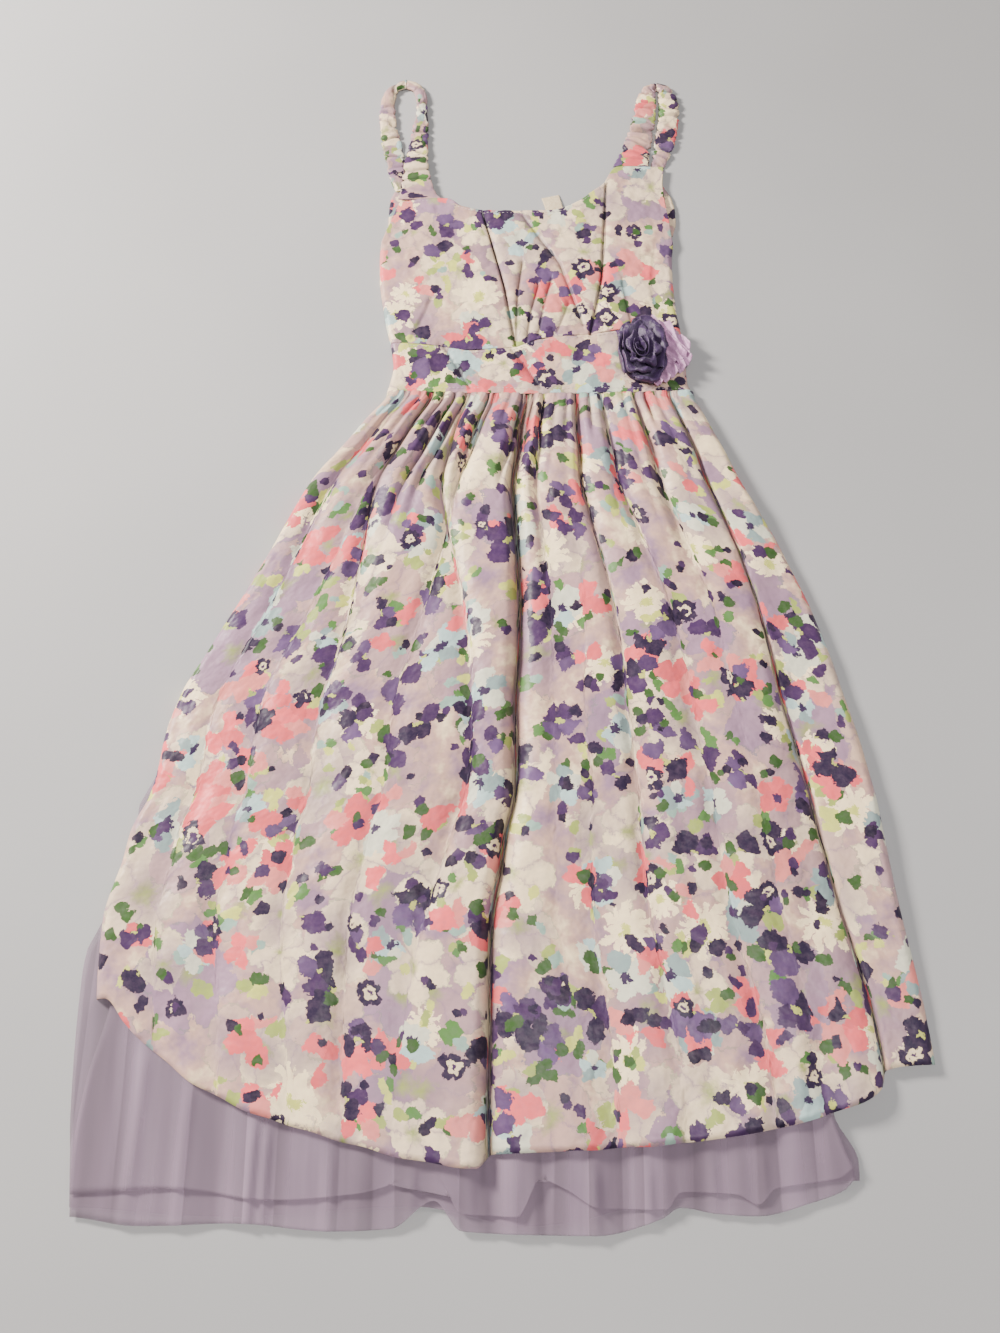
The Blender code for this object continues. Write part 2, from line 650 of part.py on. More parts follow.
def band_front_point(p, q):
    share, turned = panel_place(p, True, True, BAND_COLUMNS)
    side = -1 if p < 0.5 else 1
    rise = lerp(0, BAND_ABOUT, q)
    for _ in range(4):
        left = BODICE_SIDES.at("left", rise) + BODICE_ROLL
        right = BODICE_SIDES.at("right", rise) - BODICE_ROLL
        x = lerp(left, right, share)
        rise = lerp(waist_y(2 * share - 1) + GAP / 2, BAND_TOP.at("rise", x), q)
    z = bodice_top(x, rise)
    x, z = roll_side(x, rise, z, side, turned)
    return x, rise, z


def band_back_point(p, q):
    rise = lerp(waist_y(2 * p - 1) + GAP / 2, BACK_BAND_TOP, q)
    x = lerp(BODICE_BACK_SIDES.at("left", rise), BODICE_BACK_SIDES.at("right", rise), p)
    return x, rise, SHIRRED


def bodice_back_point(p, q):
    rise = lerp(BAND_ABOUT, NECK_ABOUT, q)
    for _ in range(5):
        x = lerp(BODICE_BACK_SIDES.at("left", rise), BODICE_BACK_SIDES.at("right", rise), p)
        rise = lerp(BACK_BAND_TOP + GAP, BODICE_BACK_TOP.at("rise", x), q)
    return x, rise, SHIRRED


def front_top(x, y):
    """Top of the cloth at a place near the waist, for what is sewn on it."""
    if y >= 0:
        return bodice_top(x, y)
    return max(bodice_top(x, 0), skirt_top(x, -y))


# Mesh makers

def bent_grid(name, columns, rows, place, wall, finish):
    """A grid bent by place(p, q) and given its wall downwards by Solidify."""
    mesh = bpy.data.meshes.new(name)
    grid = bmesh.new()
    bmesh.ops.create_grid(grid, x_segments=columns, y_segments=rows, size=0.5)
    for vertex in grid.verts:
        vertex.co = place(vertex.co.x + 0.5, vertex.co.y + 0.5)
    bmesh.ops.recalc_face_normals(grid, faces=grid.faces)
    grid.normal_update()
    if sum(face.normal.z for face in grid.faces) < 0:
        bmesh.ops.reverse_faces(grid, faces=grid.faces)
    grid.to_mesh(mesh)
    grid.free()
    panel = bpy.data.objects.new(name, mesh)
    solidify = panel.modifiers.new("Wall", "SOLIDIFY")
    solidify.thickness = wall
    solidify.offset = -1
    mesh.shade_smooth()
    return place_object(panel, finish)


def strap(name):
    """A ruched strap: a flattened tube whose width and height swell at each ruche."""
    line = Table(STRAP_COLUMNS, STRAPS[name], shares=("along",))
    mesh = bpy.data.meshes.new(name)
    tube = bmesh.new()
    bmesh.ops.create_grid(tube, x_segments=STRAP_SIDES, y_segments=STRAP_RINGS, size=0.5)
    for vertex in tube.verts:
        turn = (vertex.co.x + 0.5) * 2 * math.pi
        vertex.co = strap_point(line, turn, vertex.co.y + 0.5)
    bmesh.ops.remove_doubles(tube, verts=tube.verts, dist=0.00001)
    bmesh.ops.holes_fill(tube, edges=tube.edges, sides=STRAP_SIDES)
    bmesh.ops.recalc_face_normals(tube, faces=tube.faces)
    tube.to_mesh(mesh)
    tube.free()
    mesh.shade_smooth()
    return place_object(bpy.data.objects.new(name, mesh), "print")


def strap_point(line, turn, along):
    """Point of a strap, at a turn round it and a share along it."""
    reach = 0.01
    before = clamp(along - reach)
    after = clamp(along + reach)
    run_x = line.at("x", after) - line.at("x", before)
    run_y = line.at("rise", after) - line.at("rise", before)
    square_start = 1 - ease(along / STRAP_SQUARE_START)
    square_end = ease((along - STRAP_SQUARE_END) / STRAP_SQUARE_RUN)
    length = math.hypot(run_x, run_y)
    run_x = run_x / length * (1 - square_start)
    run_y = lerp(run_y / length, 1.0, square_start) * (1 - square_end)
    length = math.hypot(run_x, run_y)
    bump = 1 - RUCHE_DEPTH * (0.5 + 0.5 * math.cos(along * STRAP_RUCHES * 2 * math.pi))
    sideways = 0.5 * line.at("width", along) * bump * math.cos(turn)
    x = line.at("x", along) + sideways * run_y / length
    y = line.at("rise", along) - sideways * run_x / length
    height = line.at("height", along) * bump
    z = line.at("under", along) + height * (0.5 + 0.5 * math.sin(turn))
    return x, y, z


def rose(name):
    """The folded rose: petals turned in a spiral, wider at the foot."""
    mesh = bpy.data.meshes.new(name)
    ball = bmesh.new()
    bmesh.ops.create_uvsphere(ball, u_segments=24, v_segments=12, radius=1.0)
    for vertex in ball.verts:
        vertex.co = rose_point(*vertex.co)
    bmesh.ops.recalc_face_normals(ball, faces=ball.faces)
    ball.to_mesh(mesh)
    ball.free()
    mesh.shade_smooth()
    return place_object(bpy.data.objects.new(name, mesh), "rose")


def rose_point(x, y, z):
    angle = math.atan2(y, x)
    out = math.hypot(x, y)
    spiral = math.sin(ROSE_PETALS * angle + 7 * out)
    edge = 1 + 0.07 * math.sin(5 * angle + 0.6) + 0.04 * math.sin(9 * angle)
    place_x = ROSE_CENTRE_X + ROSE_HALF_WIDTH * x * edge * ROSE_OUTLINE
    place_y = ROSE_CENTRE_RISE + ROSE_HALF_LENGTH * y * edge * ROSE_OUTLINE
    ground = front_top(place_x, place_y) + GAP + 0.2 * MM
    if z <= 0:
        return place_x, place_y, ground + ROSE_FOOT * (1 + z) * out
    petals = 1 + 0.64 * spiral * out * (1.2 - out)
    return place_x, place_y, ground + ROSE_FOOT * out + (ROSE_HEIGHT - ROSE_FOOT) * z * petals


def petal_point(p, q):
    """The crumpled petals: a ruffled fan round the right of the rose."""
    angle = lerp(PETALS_FIRST_ANGLE, PETALS_LAST_ANGLE, p)
    outer = PETALS_OUTER + 0.12 * math.sin(9 * p * math.pi) + 0.08 * math.sin(4 * p * math.pi + 1)
    outer = lerp(PETALS_INNER + 0.1, outer, math.sin(p * math.pi) ** 0.5)
    out = lerp(PETALS_INNER, outer, q)
    x = ROSE_CENTRE_X + ROSE_HALF_WIDTH * out * math.cos(angle) * PETALS_STRETCH
    y = ROSE_CENTRE_RISE + ROSE_HALF_LENGTH * lerp(out, PETALS_INNER, 0.85) * math.sin(angle)
    ground = front_top(min(x, PETALS_GROUND_EDGE), y)
    ruffle = PETALS_RUFFLE * (0.5 + 0.5 * math.sin(p * PETALS_FOLDS * 2 * math.pi)) * (0.35 + 0.65 * q)
    return x, y, ground + GAP + CLOTH + 0.1 * MM + ruffle + PETALS_LIFT * (1 - q)


def neck_label():
    """Blank woven label, sewn at the neck edge of the back, that leans to the left."""
    bpy.ops.mesh.primitive_cube_add(size=1.0)
    label = bpy.context.active_object
    label.name = "neck_label"
    label.data.name = "neck_label"
    low = LABEL_RISE + GAP
    for vertex in label.data.vertices:
        p = vertex.co.x + 0.5
        q = vertex.co.y + 0.5
        vertex.co.x = LABEL_LEFT + p * LABEL_WIDTH - q * LABEL_LEAN
        vertex.co.y = low + q * (LABEL_LENGTH + p * LABEL_SLOPE)
        vertex.co.z = (vertex.co.z + 0.5) * NET
    for collection in list(label.users_collection):
        collection.objects.unlink(label)
    return place_object(label, "label")


# Scene

def clear_scene():
    for thing in list(bpy.data.objects):
        bpy.data.objects.remove(thing, do_unlink=True)


def place_object(thing, finish):
    """Give an object its own material and put it in the dress's collection."""
    material = bpy.data.materials.new(thing.name)
    material.use_nodes = True
    shader = material.node_tree.nodes["Principled BSDF"]
    shader.inputs["Base Color"].default_value = COLOURS[finish]
    shader.inputs["Roughness"].default_value = ROUGHNESS[finish]
    shader.inputs["Metallic"].default_value = 0.0
    thing.data.materials.append(material)
    bpy.data.collections[OBJECT_NAME].objects.link(thing)
    return thing


def centre_on_origin(things):
    """Put the middle of the dress's box over the origin, seen from above."""
    bpy.context.view_layer.update()
    graph = bpy.context.evaluated_depsgraph_get()
    spots = []
    for thing in things:
        mesh = thing.evaluated_get(graph).to_mesh()
        spots.extend((vertex.co.x, vertex.co.y) for vertex in mesh.vertices)
    shift_x = -0.5 * (min(x for x, _ in spots) + max(x for x, _ in spots))
    shift_y = -0.5 * (min(y for _, y in spots) + max(y for _, y in spots))
    for thing in things:
        for vertex in thing.data.vertices:
            vertex.co.x += shift_x
            vertex.co.y += shift_y


def build():
    clear_scene()
    collection = bpy.data.collections.new(OBJECT_NAME)
    bpy.context.scene.collection.children.link(collection)
    things = [
        bent_grid("skirt_front", SKIRT_COLUMNS, SKIRT_ROWS, skirt_front_point, CLOTH, "print"),
        bent_grid("skirt_back", SKIRT_BACK_COLUMNS, SKIRT_ROWS, skirt_back_point, CLOTH, "print_back"),
        bent_grid("petticoat_front_upper", NET_COLUMNS, len(NET_ROWS), net_upper_point, NET, "net"),
        bent_grid("petticoat_front_lower", NET_COLUMNS, len(NET_ROWS), net_lower_point, NET, "net"),
        bent_grid("petticoat_back", NET_BACK_COLUMNS, len(NET_BACK_ROWS), net_back_point, NET, "net"),
        bent_grid("bodice_cup_left", CUP_COLUMNS, BODICE_ROWS, cup_left_point, CLOTH, "print"),
        bent_grid("bodice_centre", CENTRE_COLUMNS, BODICE_ROWS, centre_point, CLOTH, "print"),
        bent_grid("bodice_cup_right", CUP_COLUMNS, BODICE_ROWS, cup_right_point, CLOTH, "print"),
        bent_grid("bodice_back", CUP_COLUMNS, BODICE_BACK_ROWS, bodice_back_point, SHIRRED, "print_back"),
        bent_grid("midriff_band_front", BAND_COLUMNS, BAND_ROWS, band_front_point, CLOTH, "print"),
        bent_grid("midriff_band_back", CUP_COLUMNS, 2, band_back_point, SHIRRED, "print_back"),
        bent_grid("rosette_lilac", 22, 4, petal_point, CLOTH, "petal"),
        rose("rosette_dark"),
        neck_label(),
    ]
    for name in STRAPS:
        things.append(strap(name))
    centre_on_origin(things)


build()
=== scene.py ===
"""Looks of a printed satin sundress that lies flat over its net petticoat.

Every panel is a fine grid bent by the same functions of place as the solids,
and "fine" adds the small forms that they leave out. Tables are in millimetres,
except for shares and angles. A "drop" is a distance down from the waist seam
and a "rise" is one up from it.
"""

import math

import bmesh
import bpy
import numpy as np
from bpy.props import FloatProperty, FloatVectorProperty, IntProperty, PointerProperty
from bpy.types import Operator, Panel, PropertyGroup
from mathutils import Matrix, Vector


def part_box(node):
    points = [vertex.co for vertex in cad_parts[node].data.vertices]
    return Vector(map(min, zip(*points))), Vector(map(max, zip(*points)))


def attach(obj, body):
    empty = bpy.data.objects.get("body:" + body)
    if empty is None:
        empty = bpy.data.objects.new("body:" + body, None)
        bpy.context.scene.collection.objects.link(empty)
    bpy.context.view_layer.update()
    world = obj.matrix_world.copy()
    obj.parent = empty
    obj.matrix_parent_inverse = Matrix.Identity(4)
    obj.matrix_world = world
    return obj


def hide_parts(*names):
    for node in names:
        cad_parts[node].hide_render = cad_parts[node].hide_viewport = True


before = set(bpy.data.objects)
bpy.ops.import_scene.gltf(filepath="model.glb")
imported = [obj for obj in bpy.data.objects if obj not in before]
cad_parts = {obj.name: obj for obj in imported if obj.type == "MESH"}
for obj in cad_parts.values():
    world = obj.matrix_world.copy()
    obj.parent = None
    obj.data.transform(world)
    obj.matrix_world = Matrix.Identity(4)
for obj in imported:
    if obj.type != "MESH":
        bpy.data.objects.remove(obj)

bl_info = {
    "name": "Laid-out sundress",
    "version": (1, 0, 0),
    "blender": (4, 5, 0),
    "location": "3D View > Sidebar > Sundress",
    "description": "Printed satin sundress with a net petticoat, lying flat",
    "category": "Object",
}

MM = 0.001

# Walls and gap of the solids, which set the levels of the layers
CLOTH = 1.2 * MM
NET = 1.0 * MM
SHIRRED = 3.0 * MM
GAP = 0.3 * MM
NET_BACK_LEVEL = CLOTH + GAP + NET
NET_LOWER_LEVEL = NET_BACK_LEVEL + GAP + NET
NET_UPPER_LEVEL = NET_LOWER_LEVEL + GAP + NET
SKIRT_LEVEL = NET_UPPER_LEVEL + GAP + CLOTH
BODICE_LEVEL = SHIRRED + GAP + CLOTH

# Walls of the shells that show
SHELL = 0.6 * MM
NET_SHELL = 0.25 * MM
BACK_SHELL = SHIRRED - 1.0 * MM
SKIRT_BACK_SHELL = CLOTH - 0.1 * MM
ROSE_SHELL = 0.5 * MM
PETAL_SHELL = 0.4 * MM
LABEL_SHELL = 0.5 * MM

# Faces across and along each sheet, and those of them in a rounded side
GRIDS = {
    "skirt_front": (330, 143),
    "skirt_back": (60, 60),
    "cup_left": (90, 130),
    "centre": (120, 130),
    "cup_right": (90, 140),
    "band": (200, 40),
    "bodice_back": (120, 110),
    "band_back": (120, 30),
    "rose_base": (89, 11),
    "rose_heart": (199, 8),
    "rose_petal": (83, 25),
    "petal_fan": (109, 29),
    "label": (19, 23),
}
SKIRT_TURN = 9
BODICE_TURN = 8

# Where on the printed roll the pieces are cut, across and along it, in metres
PRINT_AT = {
    "bodice": (0.0, 0.01),
    "band": (0.31, 0.0),
    "back": (0.6, 0.0),
    "skirt_back": (0.9, 0.0),
    "straps": (1.2, 0.0),
}

# Rounds in which a point and the outline that it is measured from settle
SETTLE_ROUNDS = 6
NET_SETTLE_ROUNDS = 5

# The rounded sides, the height of their lower edges, and the back and the waist
SKIRT_ROLL = 9.0 * MM
BODICE_ROLL = 6.0 * MM
EDGE_FOOT = 0.7 * MM
BACK_INSET = 3.0 * MM
BACK_SHORTER = 8.0 * MM
WAIST_SAG = 4.0 * MM

# Where the front net layers end under the skirt at the right, and the drops
# from which the net shows past the skirt's left fold
NET_RIGHT_EDGE = 214.0 * MM
NET_RIGHT_FADE = 26.0 * MM
NET_SHOWS_FROM = 300.0 * MM
NET_BULGES_FROM = 440.0 * MM
NET_BULGE_FADE = 30.0 * MM
NET_FLAP_FADE = 25.0 * MM
NET_EDGE_CLEARANCE = 1.0 * MM
NET_EDGE_FADE = 8.0 * MM
FOLD_ON_NET_CLEARANCE = 0.35 * MM

# How the net sinks past the hem of the cloth above it
HEM_STEP = 16.0 * MM
HEM_STEP_START = 2.0 * MM
NET_SETTLE_LENGTH = 60.0 * MM
NET_SETTLE_SHARE = 0.75

# The neck label's solid fixes where the tables' zero lies in the frame
LABEL_LEFT = 42.0 * MM
LABEL_RISE = 207.5 * MM
LABEL_WIDTH = 17.5 * MM
LABEL_LENGTH = 29.5 * MM
LABEL_LEAN = 7.0 * MM
LABEL_SLOPE = 4.5 * MM
LABEL_LEVEL = 0.75 * MM
LABEL_BOW = 1.6 * MM
LABEL_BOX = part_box("neck_label")
SHIFT_X = LABEL_BOX[0][0] - LABEL_LEFT
SHIFT_Y = LABEL_BOX[0][1] - LABEL_RISE


class Table:
    """Rows of numbers, read between rows by a smooth curve on the first column."""

    def __init__(self, names, rows, shares=""):
        self.names = names.split()
        self.data = np.array(rows, float)
        for column, name in enumerate(self.names):
            if name not in shares.split():
                self.data[:, column] *= MM

    def at(self, name, station):
        keys = self.data[:, 0]
        values = self.data[:, self.names.index(name)]
        steps = np.diff(values) / np.diff(keys)
        slopes = np.zeros(len(keys))
        same = steps[:-1] * steps[1:] > 0
        total = np.where(same, steps[:-1] + steps[1:], 1.0)
        slopes[1:-1] = np.where(same, 2 * steps[:-1] * steps[1:] / total, 0.0)
        station = np.clip(station, keys[0], keys[-1])
        i = np.clip(np.searchsorted(keys, station, side="right") - 1, 0, len(keys) - 2)
        span = keys[i + 1] - keys[i]
        t = (station - keys[i]) / span
        keep = (1 + 2 * t) * (1 - t) ** 2
        turn = t * t * (3 - 2 * t)
        bend = t * (1 - t) ** 2 * slopes[i] * span - t * t * (1 - t) * slopes[i + 1] * span
        return keep * values[i] + turn * values[i + 1] + bend


# Outline of the skirt front: where its two side folds lie at each drop
SKIRT_SIDES = Table("drop left right", [
    (0, -105, 180), (33, -125, 191), (65, -146, 204), (96, -168, 215), (127, -183, 229),
    (157, -196, 242), (186, -209, 253), (214, -222, 263), (242, -236, 271), (269, -249, 278),
    (298, -263, 284), (335, -272, 292), (366, -275, 297), (386, -279, 300), (413, -290, 302),
    (439, -294, 304), (463, -300, 306), (481, -303, 308), (513, -302, 312), (550, -299, 316),
    (590, -296, 318), (660, -292, 318),
])
SKIRT_HEM = Table("across drop", [
    (-1.0, 541), (-0.95, 557), (-0.86, 581), (-0.69, 610), (-0.46, 631), (-0.24, 646),
    (-0.10, 651), (-0.06, 642), (0.10, 640), (0.31, 637), (0.55, 630), (0.81, 613),
    (0.885, 602), (0.905, 590), (1.0, 586),
], "across")
SKIRT_LOFT = Table("share side middle", [
    (0.0, 2.5, 3.5), (0.03, 3.5, 6.0), (0.12, 5.0, 9.5), (0.35, 6.0, 12.5), (0.65, 6.0, 13.0),
    (0.90, 5.0, 10.5), (1.0, 4.5, 9.0),
], "share")
SKIRT_FOLDS = [
    # place at waist, middle, hem; depth at waist, middle, hem; width left, right; cloth hidden
    (-0.93, -0.90, -0.88, 0.55, 0.25, 0.30, 9, 12, 10),
    (-0.76, -0.58, -0.55, 0.75, 0.30, 0.18, 10, 16, 12),
    (-0.49, -0.12, -0.30, 0.70, 0.32, 0.12, 12, 10, 12),
    (-0.32, -0.36, -0.42, 0.65, 0.22, 0.30, 9, 14, 10),
    (-0.09, 0.01, -0.07, 0.88, 0.86, 0.88, 8, 13, 34),
    (0.02, 0.12, 0.16, 0.60, 0.16, 0.10, 8, 16, 8),
    (0.24, 0.35, 0.40, 0.80, 0.42, 0.12, 8, 13, 14),
    (0.42, 0.55, 0.62, 0.60, 0.22, 0.34, 9, 17, 10),
    (0.65, 0.68, 0.74, 0.60, 0.18, 0.20, 12, 12, 8),
    (0.89, 0.83, 0.90, 0.72, 0.78, 0.80, 7, 26, 26),
    (-0.74, -0.76, -0.72, 0.30, 0.20, 0.38, 14, 10, 8),
    (0.20, 0.22, 0.24, 0.00, 0.18, 0.40, 14, 18, 10),
]
FOLD_WAIST_WIDTH = 0.35
FOLD_FULL_WIDTH_FROM = 0.40
GATHERS = 26
GATHER_DEPTH = 0.62
GATHER_HALF_WIDTH = 3.2 * MM
GATHER_SPREAD = 0.05
GATHER_SHORTEST = 45.0 * MM
GATHER_LONGEST = 230.0 * MM
GATHER_HIDDEN = 7.0 * MM

# What the cloth adds to the solids' folds: narrow grooves in the deep folds,
# fine gathers at the seam and soft waves along the skirt
GROOVE_FROM_DEPTH = 0.40
GROOVE_HALF_WIDTH = 2.6 * MM
# How dark the painted shade inside the deep grooves and gathers is made
PAINTED_GROOVE_SHADE = 0.82
WAIST_PUFF = 0.5
WAIST_PUFF_GROW = 14.0 * MM
WAIST_PUFF_END = 50.0 * MM
WAIST_PUFF_FADE = 110.0 * MM
# Half width of the painted shade along the bodice's tucks
TUCK_SHADE_HALF_WIDTH = 1.5 * MM
FINE_GATHERS = 88
FINE_GATHER_HEIGHT = 0.35 * MM
FINE_GATHER_RUN = 32.0 * MM
FINE_GATHER_WANDER = 9.0 * MM
FREE_OF_SEAM = 70.0 * MM
WAVE_HEIGHT = 2.7 * MM
WAVE_PITCH = 45.0 * MM
WAVE_SPREAD = 0.8 / (600.0 * MM)
HEM_WOBBLE = 1.2 * MM
HEM_WOBBLE_PITCH = 30.0 * MM
HEM_WOBBLE_POWER = 14

# The flat cloth: its width, and how far each fold's and gather's share reaches
SKIRT_FLAT_WIDTH = 0.80
FOLD_TAKES_UP = 2.2 * MM
GATHER_TAKES_UP = 1.1 * MM

# Rows lie closer together at the waist, and columns near the deep folds
SKIRT_ROW_POWER = 1.12
BACK_ROW_POWER = 1.3
CROWDING = 2.2
CROWDING_WIDTH = 7.0 * MM
CROWDING_SAMPLES = 1600

# Distances from wrinkle to wrinkle
SKIRT_WRINKLE = 24.0 * MM
SKIRT_SMALL_WRINKLE = 12.0 * MM
SKIRT_WRINKLED_PATCH = 200.0 * MM
BODICE_BROAD_WRINKLE = 52.0 * MM
BODICE_WRINKLE = 22.0 * MM
BODICE_SMALL_WRINKLE = 10.0 * MM
BODICE_PUCKER = 17.0 * MM

NET_SIDES = Table("drop left right", [
    (0, -96, 170), (150, -180, 190), (300, -248, 204), (420, -275, 214), (540, -287, 226),
    (600, -300, 232), (640, -303, 243), (660, -302, 250), (700, -299, 246),
])
NET_BACK_SIDES = Table("drop left right", [
    (0, -98, 170), (150, -186, 194), (300, -255, 208), (350, -266, 212), (364, -289, 213),
    (386, -291, 214), (400, -278, 216), (440, -284, 218), (463, -300, 220), (490, -310, 223),
    (520, -314, 226), (560, -313, 230), (620, -309, 240), (650, -305, 254), (700, -300, 250),
])
NET_LOWER_HEM = Table("x drop", [
    (-305, 686), (-254, 691), (-180, 688), (-120, 692), (-76, 690), (-46, 672), (-27, 691),
    (7, 693), (69, 694), (112, 684), (126, 677), (150, 681), (180, 683), (215, 676),
    (241, 668), (252, 660),
])
NET_UPPER_HEM = Table("x drop", [
    (-305, 672), (-230, 667), (-160, 673), (-100, 668), (-46, 655), (-26, 680), (12, 682),
    (28, 658), (45, 664), (70, 677), (116, 678), (126, 667), (165, 669), (180, 676),
    (192, 666), (238, 660), (252, 652),
])
NET_BACK_HEM = Table("x drop", [
    (-315, 680), (-200, 684), (-60, 676), (20, 688), (120, 672), (252, 662),
])
NET_WIDTH = 600.0 * MM
NET_LENGTH = 700.0 * MM
NET_PLEATS = 12
NET_PLEAT_HEIGHT = 3.0 * MM
NET_PLEATS_BEFORE_HEM = 30.0 * MM
NET_PLEATS_GROW = 50.0 * MM
NET_FOLDS = [
    # x, half width and height of the narrow folds that stand up where the net shows
    (-262, 5, 2.6), (-226, 4, 2.0), (-176, 3.5, 3.4), (-166, 3, 2.6), (-120, 5, 2.2), (-62, 4, 3.2),
    (-10, 3.5, 2.8), (24, 4, 2.4), (66, 4.5, 3.2), (104, 4, 2.4), (150, 5, 2.6), (186, 4, 2.0),
]
NET_FOLD_FLARE = 0.10
NET_WAVE_PITCH = 46.0 * MM
NET_SMALL_WAVE_PITCH = 19.0 * MM

# Net rows as shares of the skirt above: a few hidden ones, those round the hem
# and those past it. A hidden row follows the lowest cloth within its reach.
NET_COLUMNS = 220
NET_HIDDEN_ROWS = 10
NET_HEM_ROWS = 8
NET_FREE_ROWS = 23
NET_FIRST_ROW = 0.004
NET_LAST_HIDDEN = 0.93
NET_HEM_START = 0.95
NET_HEM_END = 1.03
NET_HIDDEN_REACH = 14.0 * MM
NET_UNDER_SHARE = 0.92

BODICE_SIDES = Table("rise left right", [
    (0, -105, 178), (10, -103, 175), (28, -100, 174), (46, -102, 174), (61, -105, 173),
    (78, -109, 171), (96, -112, 169), (132, -117, 168), (160, -118, 169), (172, -117, 170),
    (185, -114, 169), (201, -109, 168), (217, -104, 166), (228, -101, 165), (250, -101, 164),
    (275, -101, 166),
])
UNDERARM = 156.0 * MM
ARMHOLE_START = 177.0 * MM
BAND_TOP = Table("x rise", [
    (-105, 55), (-58, 50), (-30, 45), (9, 48), (40, 58), (86, 63.5), (115, 68), (175, 73),
])
NECKLINE = Table("x rise", [
    (-101, 226), (-94, 229), (-72, 231), (-52, 230), (-39, 221), (-20, 216), (10, 214),
    (45, 215), (60, 217), (75, 224), (90, 237), (105, 252), (115, 270), (120, 273), (168, 274),
])
LEFT_SEAM = Table("rise x", [
    (40, 16), (65, 13.5), (98, 8), (138, 0), (182, -10.4), (212, -17), (235, -21),
])
RIGHT_SEAM = Table("rise x", [
    (55, 84), (88, 92), (118, 96), (148, 100), (167, 103), (204, 105), (260, 106),
])
BAND_ABOUT = 60.0 * MM
NECK_ABOUT = 230.0 * MM
SIDE_FULLNESS = 1.4
BODICE_LOFT = Table("rise side middle", [
    (0, 2.0, 3.4), (50, 2.0, 3.6), (90, 2.2, 4.6), (150, 2.2, 5.2), (200, 1.6, 4.0), (240, 1.2, 3.0),
    (275, 1.0, 2.4),
])
BODICE_CREASES = [
    # x1, rise1, x2, rise2, x3, rise3, depth as a share, half width
    (14, 52, 4, 120, -17, 212, 0.70, 5.0),
    (85, 64, 98, 130, 107, 250, 0.70, 5.0),
    (22, 209, 58, 148, 79, 75, 0.60, 6.0),
    (22, 150, 17, 112, 15, 58, 0.60, 4.5),
    (37, 122, 29, 88, 25, 55, 0.60, 4.5),
    (50, 130, 42, 98, 36, 62, 0.50, 4.5),
    (66, 100, 60, 82, 54, 66, 0.40, 4.5),
    (-54, 51, -41, 27, -28, 3, 0.60, 4.5),
    (10, 47, 23, 28, 37, 3, 0.60, 4.5),
    (-84, 60, -74, 84, -66, 106, 0.35, 7.0),
    (126, 70, 122, 96, 118, 124, 0.35, 7.0),
    (150, 80, 146, 120, 150, 160, 0.25, 9.0),
]
BODICE_BACK_SIDES = Table("rise left right", [
    (0, -99, 172), (28, -96, 170), (61, -101, 168), (96, -108, 164), (132, -113, 163), (160, -114, 164),
    (176, -112, 165), (190, -111.5, 172), (204, -111, 175), (217, -111, 175), (232, -110, 173),
    (245, -106, 168), (258, -104, 161),
])
BODICE_BACK_TOP = Table("x rise", [
    (-106, 243), (-97, 238), (-84, 220), (-60, 208), (0, 206), (62, 206), (104, 216), (132, 240),
    (150, 254), (161, 257), (170, 249),
])

# Rows of shirring across the back, and the puckers between its elastic threads
BACK_BAND_TOP = 50.0 * MM
SHIRRING_PITCH = 9.0 * MM
SHIRRING_DEPTH = 0.5 * MM
PUCKER_PITCH = 4.0 * MM
PUCKER_DEPTH = 0.3 * MM

STRAP_COLUMNS = "along x rise width under height"
STRAPS = {
    "strap_left_front": [
        (0.00, -84, 231.5, 36, 3.6, 2.6), (0.08, -83.5, 243, 34, 3.5, 3.2), (0.20, -84.6, 262, 29, 3.5, 4.0),
        (0.31, -85, 279, 25, 3.5, 4.5), (0.45, -84, 301, 21, 1.2, 5.5), (0.59, -82.5, 325, 18, 0, 6.0),
        (0.73, -81.5, 348, 13, 0, 6.0), (0.84, -82, 366, 12, 0, 6.0), (0.93, -87, 385, 13, 0, 5.5),
        (1.00, -98.85, 392.5, 13, 0, 5.0),
    ],
    "strap_left_back": [
        (0.00, -101, 245.5, 9, 0, 2.4), (0.09, -104.5, 259, 13, 0, 2.7), (0.22, -105.8, 275, 19, 0, 2.9),
        (0.36, -109, 294, 21, 0, 3.6), (0.50, -112.5, 312, 21, 0, 5.0), (0.62, -115.5, 329, 18, 0, 6.0),
        (0.75, -117.5, 348, 18, 0, 6.0), (0.86, -117.5, 366, 15, 0, 6.0), (0.94, -111, 386, 13, 0, 5.5),
        (1.00, -99.15, 392.5, 13, 0, 5.0),
    ],
    "strap_right_front": [
        (0.00, 134, 274.6, 35, 3.4, 2.6), (0.12, 137.5, 290, 32, 1.4, 4.4), (0.26, 141.5, 306, 29, 0, 6.0),
        (0.46, 147.5, 330, 26, 0, 6.0), (0.70, 152.5, 359, 23, 0, 6.0), (0.84, 155, 375, 19, 0, 6.0),
        (0.92, 158, 384, 14, 0, 5.5), (1.00, 165.35, 388, 11, 0, 5.0),
    ],
    "strap_right_back": [
        (0.00, 158, 259, 13, 0, 2.3), (0.14, 161, 277, 14, 0, 2.6), (0.27, 165.5, 292, 18, 0, 5.0),
        (0.38, 169, 306, 21, 0, 6.0), (0.56, 174, 330, 22, 0, 6.0), (0.76, 177, 359, 22, 0, 6.0),
        (0.88, 175.5, 375, 19, 0, 6.0), (0.94, 172.5, 384, 14, 0, 5.5), (1.00, 165.65, 388, 11, 0, 5.0),
    ],
}
STRAP_CUTS = {
    # width all round, length
    "strap_left_front": (52, 175),
    "strap_left_back": (45, 155),
    "strap_right_front": (62, 130),
    "strap_right_back": (50, 135),
}
STRAP_RUCHES = 12
